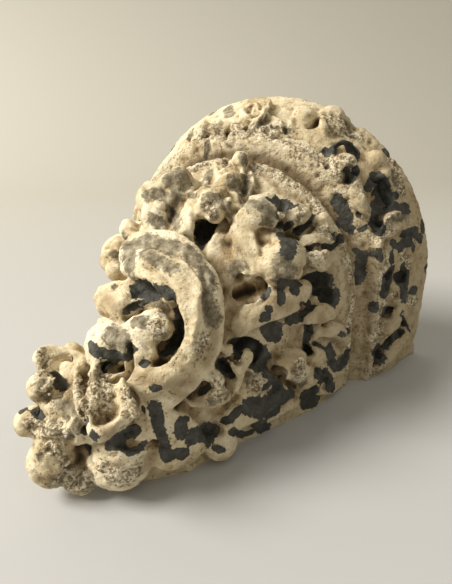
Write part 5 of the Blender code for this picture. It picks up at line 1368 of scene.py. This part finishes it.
# dark brown band along the channel under the torus
cream = cream.blend(CHANNEL_DARK_BROWN, (channel_wire + (mottle - 0.5) * 0.5).step(0.15, 0.75) * 0.9)
crannies = (ragged_fine * 0.6 + mottle * 0.4 - hollow_wire * 0.03 - bare_wire * 0.10).step(0.425, 0.34)
cream = cream.blend(CRANNY_DIRT, crannies * 0.75)
# the right side, away from the window, is painted darker brown: grime and painted shade
across_casting = place.node("ShaderNodeSeparateXYZ", {}, {0: place})
cream = cream.blend(SIDE_GRIME_AND_SHADE, (across_casting + (broad - 0.5) * 0.15).step(0.0, 0.16) * 0.62)
specks = (speck + hollow_wire * 0.015).step(0.655, 0.70) * (mottle + bare_wire * 0.4).step(0.42, 0.6)
cream = cream.blend(SPECK_DIRT, specks * 0.85)

# tops rubbed through to the grey-brown
RUBBED_STOPS = [(0.38, (0.075, 0.062, 0.040)), (0.50, (0.165, 0.14, 0.092)), (0.62, (0.36, 0.315, 0.22))]
rub = (worn_wire + (ragged - 0.5) * 1.2 + (ragged_fine - 0.5) * 0.9).step(0.36, 0.58)
cream = cream.blend(ramp(RUBBED_STOPS, mottle), rub * (0.72 + 0.28 * (ragged_fine - 0.1)))

# crumbly bare plaster, white with dark pits
DUSTY_STOPS = [(0.43, (0.17, 0.125, 0.07)), (0.495, (0.42, 0.335, 0.205)), (0.555, (0.84, 0.765, 0.585))]
dusty = ramp(DUSTY_STOPS, crumb * 0.25 + ragged_fine * 0.45 + ragged * 0.30)
rough_share = (bare_wire + (ragged - 0.5) * 1.0).step(0.38, 0.62)
cream = cream.blend(dusty, rough_share * 0.8)

# the slate coat, in the flaked patches and in small chips, and painted shadow, black, at the bottom of the
# deep hollows
SLATE_STOPS = [(0.35, (0.031, 0.030, 0.022)), (0.52, (0.062, 0.061, 0.050)), (0.72, (0.135, 0.135, 0.120))]
slate = ramp(SLATE_STOPS, mottle * 0.6 + broad * 0.4)
chips = (ragged_fine * 0.35 + ragged * 0.65 - hollow_wire * 0.02).step(0.665, 0.70)
gone = (flaked_wire + (ragged - 0.5) * 0.9 + (ragged_fine - 0.5) * 0.45).step(0.43, 0.455).most(chips * 0.9)
colour = cream.blend(slate, gone)
# painted shadow: near-black at the bottom of the deep hollows
colour = colour.blend(HOLLOW_SHADOW_BLACK, (hollow_wire + (mottle - 0.5) * 0.6).step(1.3, 2.5) * 0.9)
tree_of.links.new(colour.socket, shader.inputs["Base Color"])
tree_of.links.new((0.86 - gone * 0.22 + rough_share * 0.08).socket, shader.inputs["Roughness"])
shader.inputs["Specular IOR Level"].default_value = 0.28
BUMP_HEIGHT = 1.7 * MM
height = (crumb * 0.25 + mottle * 0.9 + ragged_fine * (0.55 + 0.8 * rough_share) - gone * 0.40 - specks * 0.35
          - crannies * 0.3)
relief = start.node("ShaderNodeBump", {}, {"Strength": 1.0, "Distance": BUMP_HEIGHT, "Height": height})
tree_of.links.new(relief.socket, shader.inputs["Normal"])
corbel.data.materials.append(finish)
corbel.name = "corbel_casting"
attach(corbel, "root")
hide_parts("plaster_corbel")

# Stage: the corbel lies on its flat back on a pale sheet that sweeps up behind it, under soft light from a
# window at the upper left. The sheet is clear from behind, so that the back can be looked at too.
RIGHT = Vector((0.890488, 0.023736, 0.454387))
UP = Vector((-0.158843, -0.919593, 0.359330))
AHEAD = Vector((-0.426380, 0.392155, 0.815116))
SENSOR = 36.0
LENS = 27.06
camera_data = bpy.data.cameras.new("camera")
camera_data.sensor_width = SENSOR
camera_data.lens = LENS
camera_data.clip_start = 0.01
camera = bpy.data.objects.new("camera", camera_data)
bpy.context.collection.objects.link(camera)
stand = Matrix((RIGHT, UP, -AHEAD)).transposed().to_4x4()
stand.translation = EYE
camera.matrix_world = stand
bpy.context.scene.camera = camera

along = Vector((AHEAD.x, 0.0, AHEAD.z)).normalized()
sideways = Vector((along.z, 0.0, -along.x))
SWEEP_START = 1.0
SWEEP_RADIUS = 0.9
SWEEP_STEPS = 16
SHEET_HALF = 4.0
SHEET_NEAR = -3.0
SHEET_HEIGHT = 4.0
SHEET_GAP = 0.3 * MM
profile = [(SHEET_NEAR, 0.0), (0.3, 0.0), (SWEEP_START, 0.0)]
for k in range(1, SWEEP_STEPS + 1):
    angle = math.radians(90 * k / SWEEP_STEPS)
    profile.append((SWEEP_START + SWEEP_RADIUS * math.sin(angle), SWEEP_RADIUS * (1 - math.cos(angle))))
profile.append((SWEEP_START + SWEEP_RADIUS, SHEET_HEIGHT))
sheet_points = []
for forward, rise in profile:
    for side in (-SHEET_HALF, SHEET_HALF):
        sheet_points.append(along * forward + sideways * side + Vector((0, -rise - SHEET_GAP, 0)))
sheet_faces = [(2 * k, 2 * k + 1, 2 * k + 3, 2 * k + 2) for k in range(len(profile) - 1)]
sheet = new_mesh("pale_sheet", sheet_points, sheet_faces)
if sheet.data.polygons[0].normal.y > 0:
    sheet.data.flip_normals()
for face in sheet.data.polygons:
    face.use_smooth = True
PAPER_NEAR = (0.435, 0.435, 0.43, 1.0)
PAPER_FAR = (0.42, 0.405, 0.35, 1.0)
PAPER_FADE = 0.9
paper = bpy.data.materials.new("pale_paper")
paper.use_nodes = True
nodes = paper.node_tree.nodes
nodes["Principled BSDF"].inputs["Roughness"].default_value = 0.8
behind = nodes.new("ShaderNodeNewGeometry")
away = nodes.new("ShaderNodeVectorMath")
away.operation = "DOT_PRODUCT"
away.inputs[1].default_value = along
fade = nodes.new("ShaderNodeValToRGB")
fade.color_ramp.elements[0].position = 0.0
fade.color_ramp.elements[0].color = PAPER_NEAR
fade.color_ramp.elements[1].position = PAPER_FADE
fade.color_ramp.elements[1].color = PAPER_FAR
paper.node_tree.links.new(behind.outputs["Position"], away.inputs[0])
paper.node_tree.links.new(away.outputs["Value"], fade.inputs[0])
paper.node_tree.links.new(fade.outputs[0], nodes["Principled BSDF"].inputs["Base Color"])
clear = nodes.new("ShaderNodeBsdfTransparent")
either = nodes.new("ShaderNodeMixShader")
paper.node_tree.links.new(behind.outputs["Backfacing"], either.inputs[0])
paper.node_tree.links.new(nodes["Principled BSDF"].outputs[0], either.inputs[1])
paper.node_tree.links.new(clear.outputs[0], either.inputs[2])
paper.node_tree.links.new(either.outputs[0], nodes["Material Output"].inputs["Surface"])
sheet.data.materials.append(paper)

CENTRE = Vector((0.0, -0.09, SHELF_TOP - 0.14))
# each lamp's name, way from the corbel, distance, power, size and tint
LAMPS = [
    ("window", RIGHT * -1.0 + UP * 0.8 - AHEAD * 0.45, 5.0, 400.0, 2.1, (1.0, 0.955, 0.89)),
    ("room", RIGHT * 0.3 + UP * 1.2 - AHEAD * 1.2, 3.0, 9.0, 3.0, (1.0, 0.96, 0.88)),
    ("behind", Vector((0.6, 1.0, 0.4)), 1.4, 12.0, 1.0, (1.0, 0.97, 0.93)),
]
for name, way, far, power, size, tint in LAMPS:
    lamp_data = bpy.data.lights.new(name, "AREA")
    lamp_data.energy = power
    lamp_data.size = size
    lamp_data.color = tint
    lamp = bpy.data.objects.new(name, lamp_data)
    bpy.context.collection.objects.link(lamp)
    lamp.location = CENTRE + way.normalized() * far
    lamp.rotation_euler = way.to_track_quat("Z", "Y").to_euler()
ROOM_TINT = (1.0, 0.94, 0.80, 1.0)
ROOM_STRENGTH = 0.40
world = bpy.data.worlds.new("room_light")
bpy.context.scene.world = world
world.use_nodes = True
world.node_tree.nodes["Background"].inputs["Color"].default_value = ROOM_TINT
world.node_tree.nodes["Background"].inputs["Strength"].default_value = ROOM_STRENGTH
bpy.context.scene.view_settings.view_transform = "Standard"
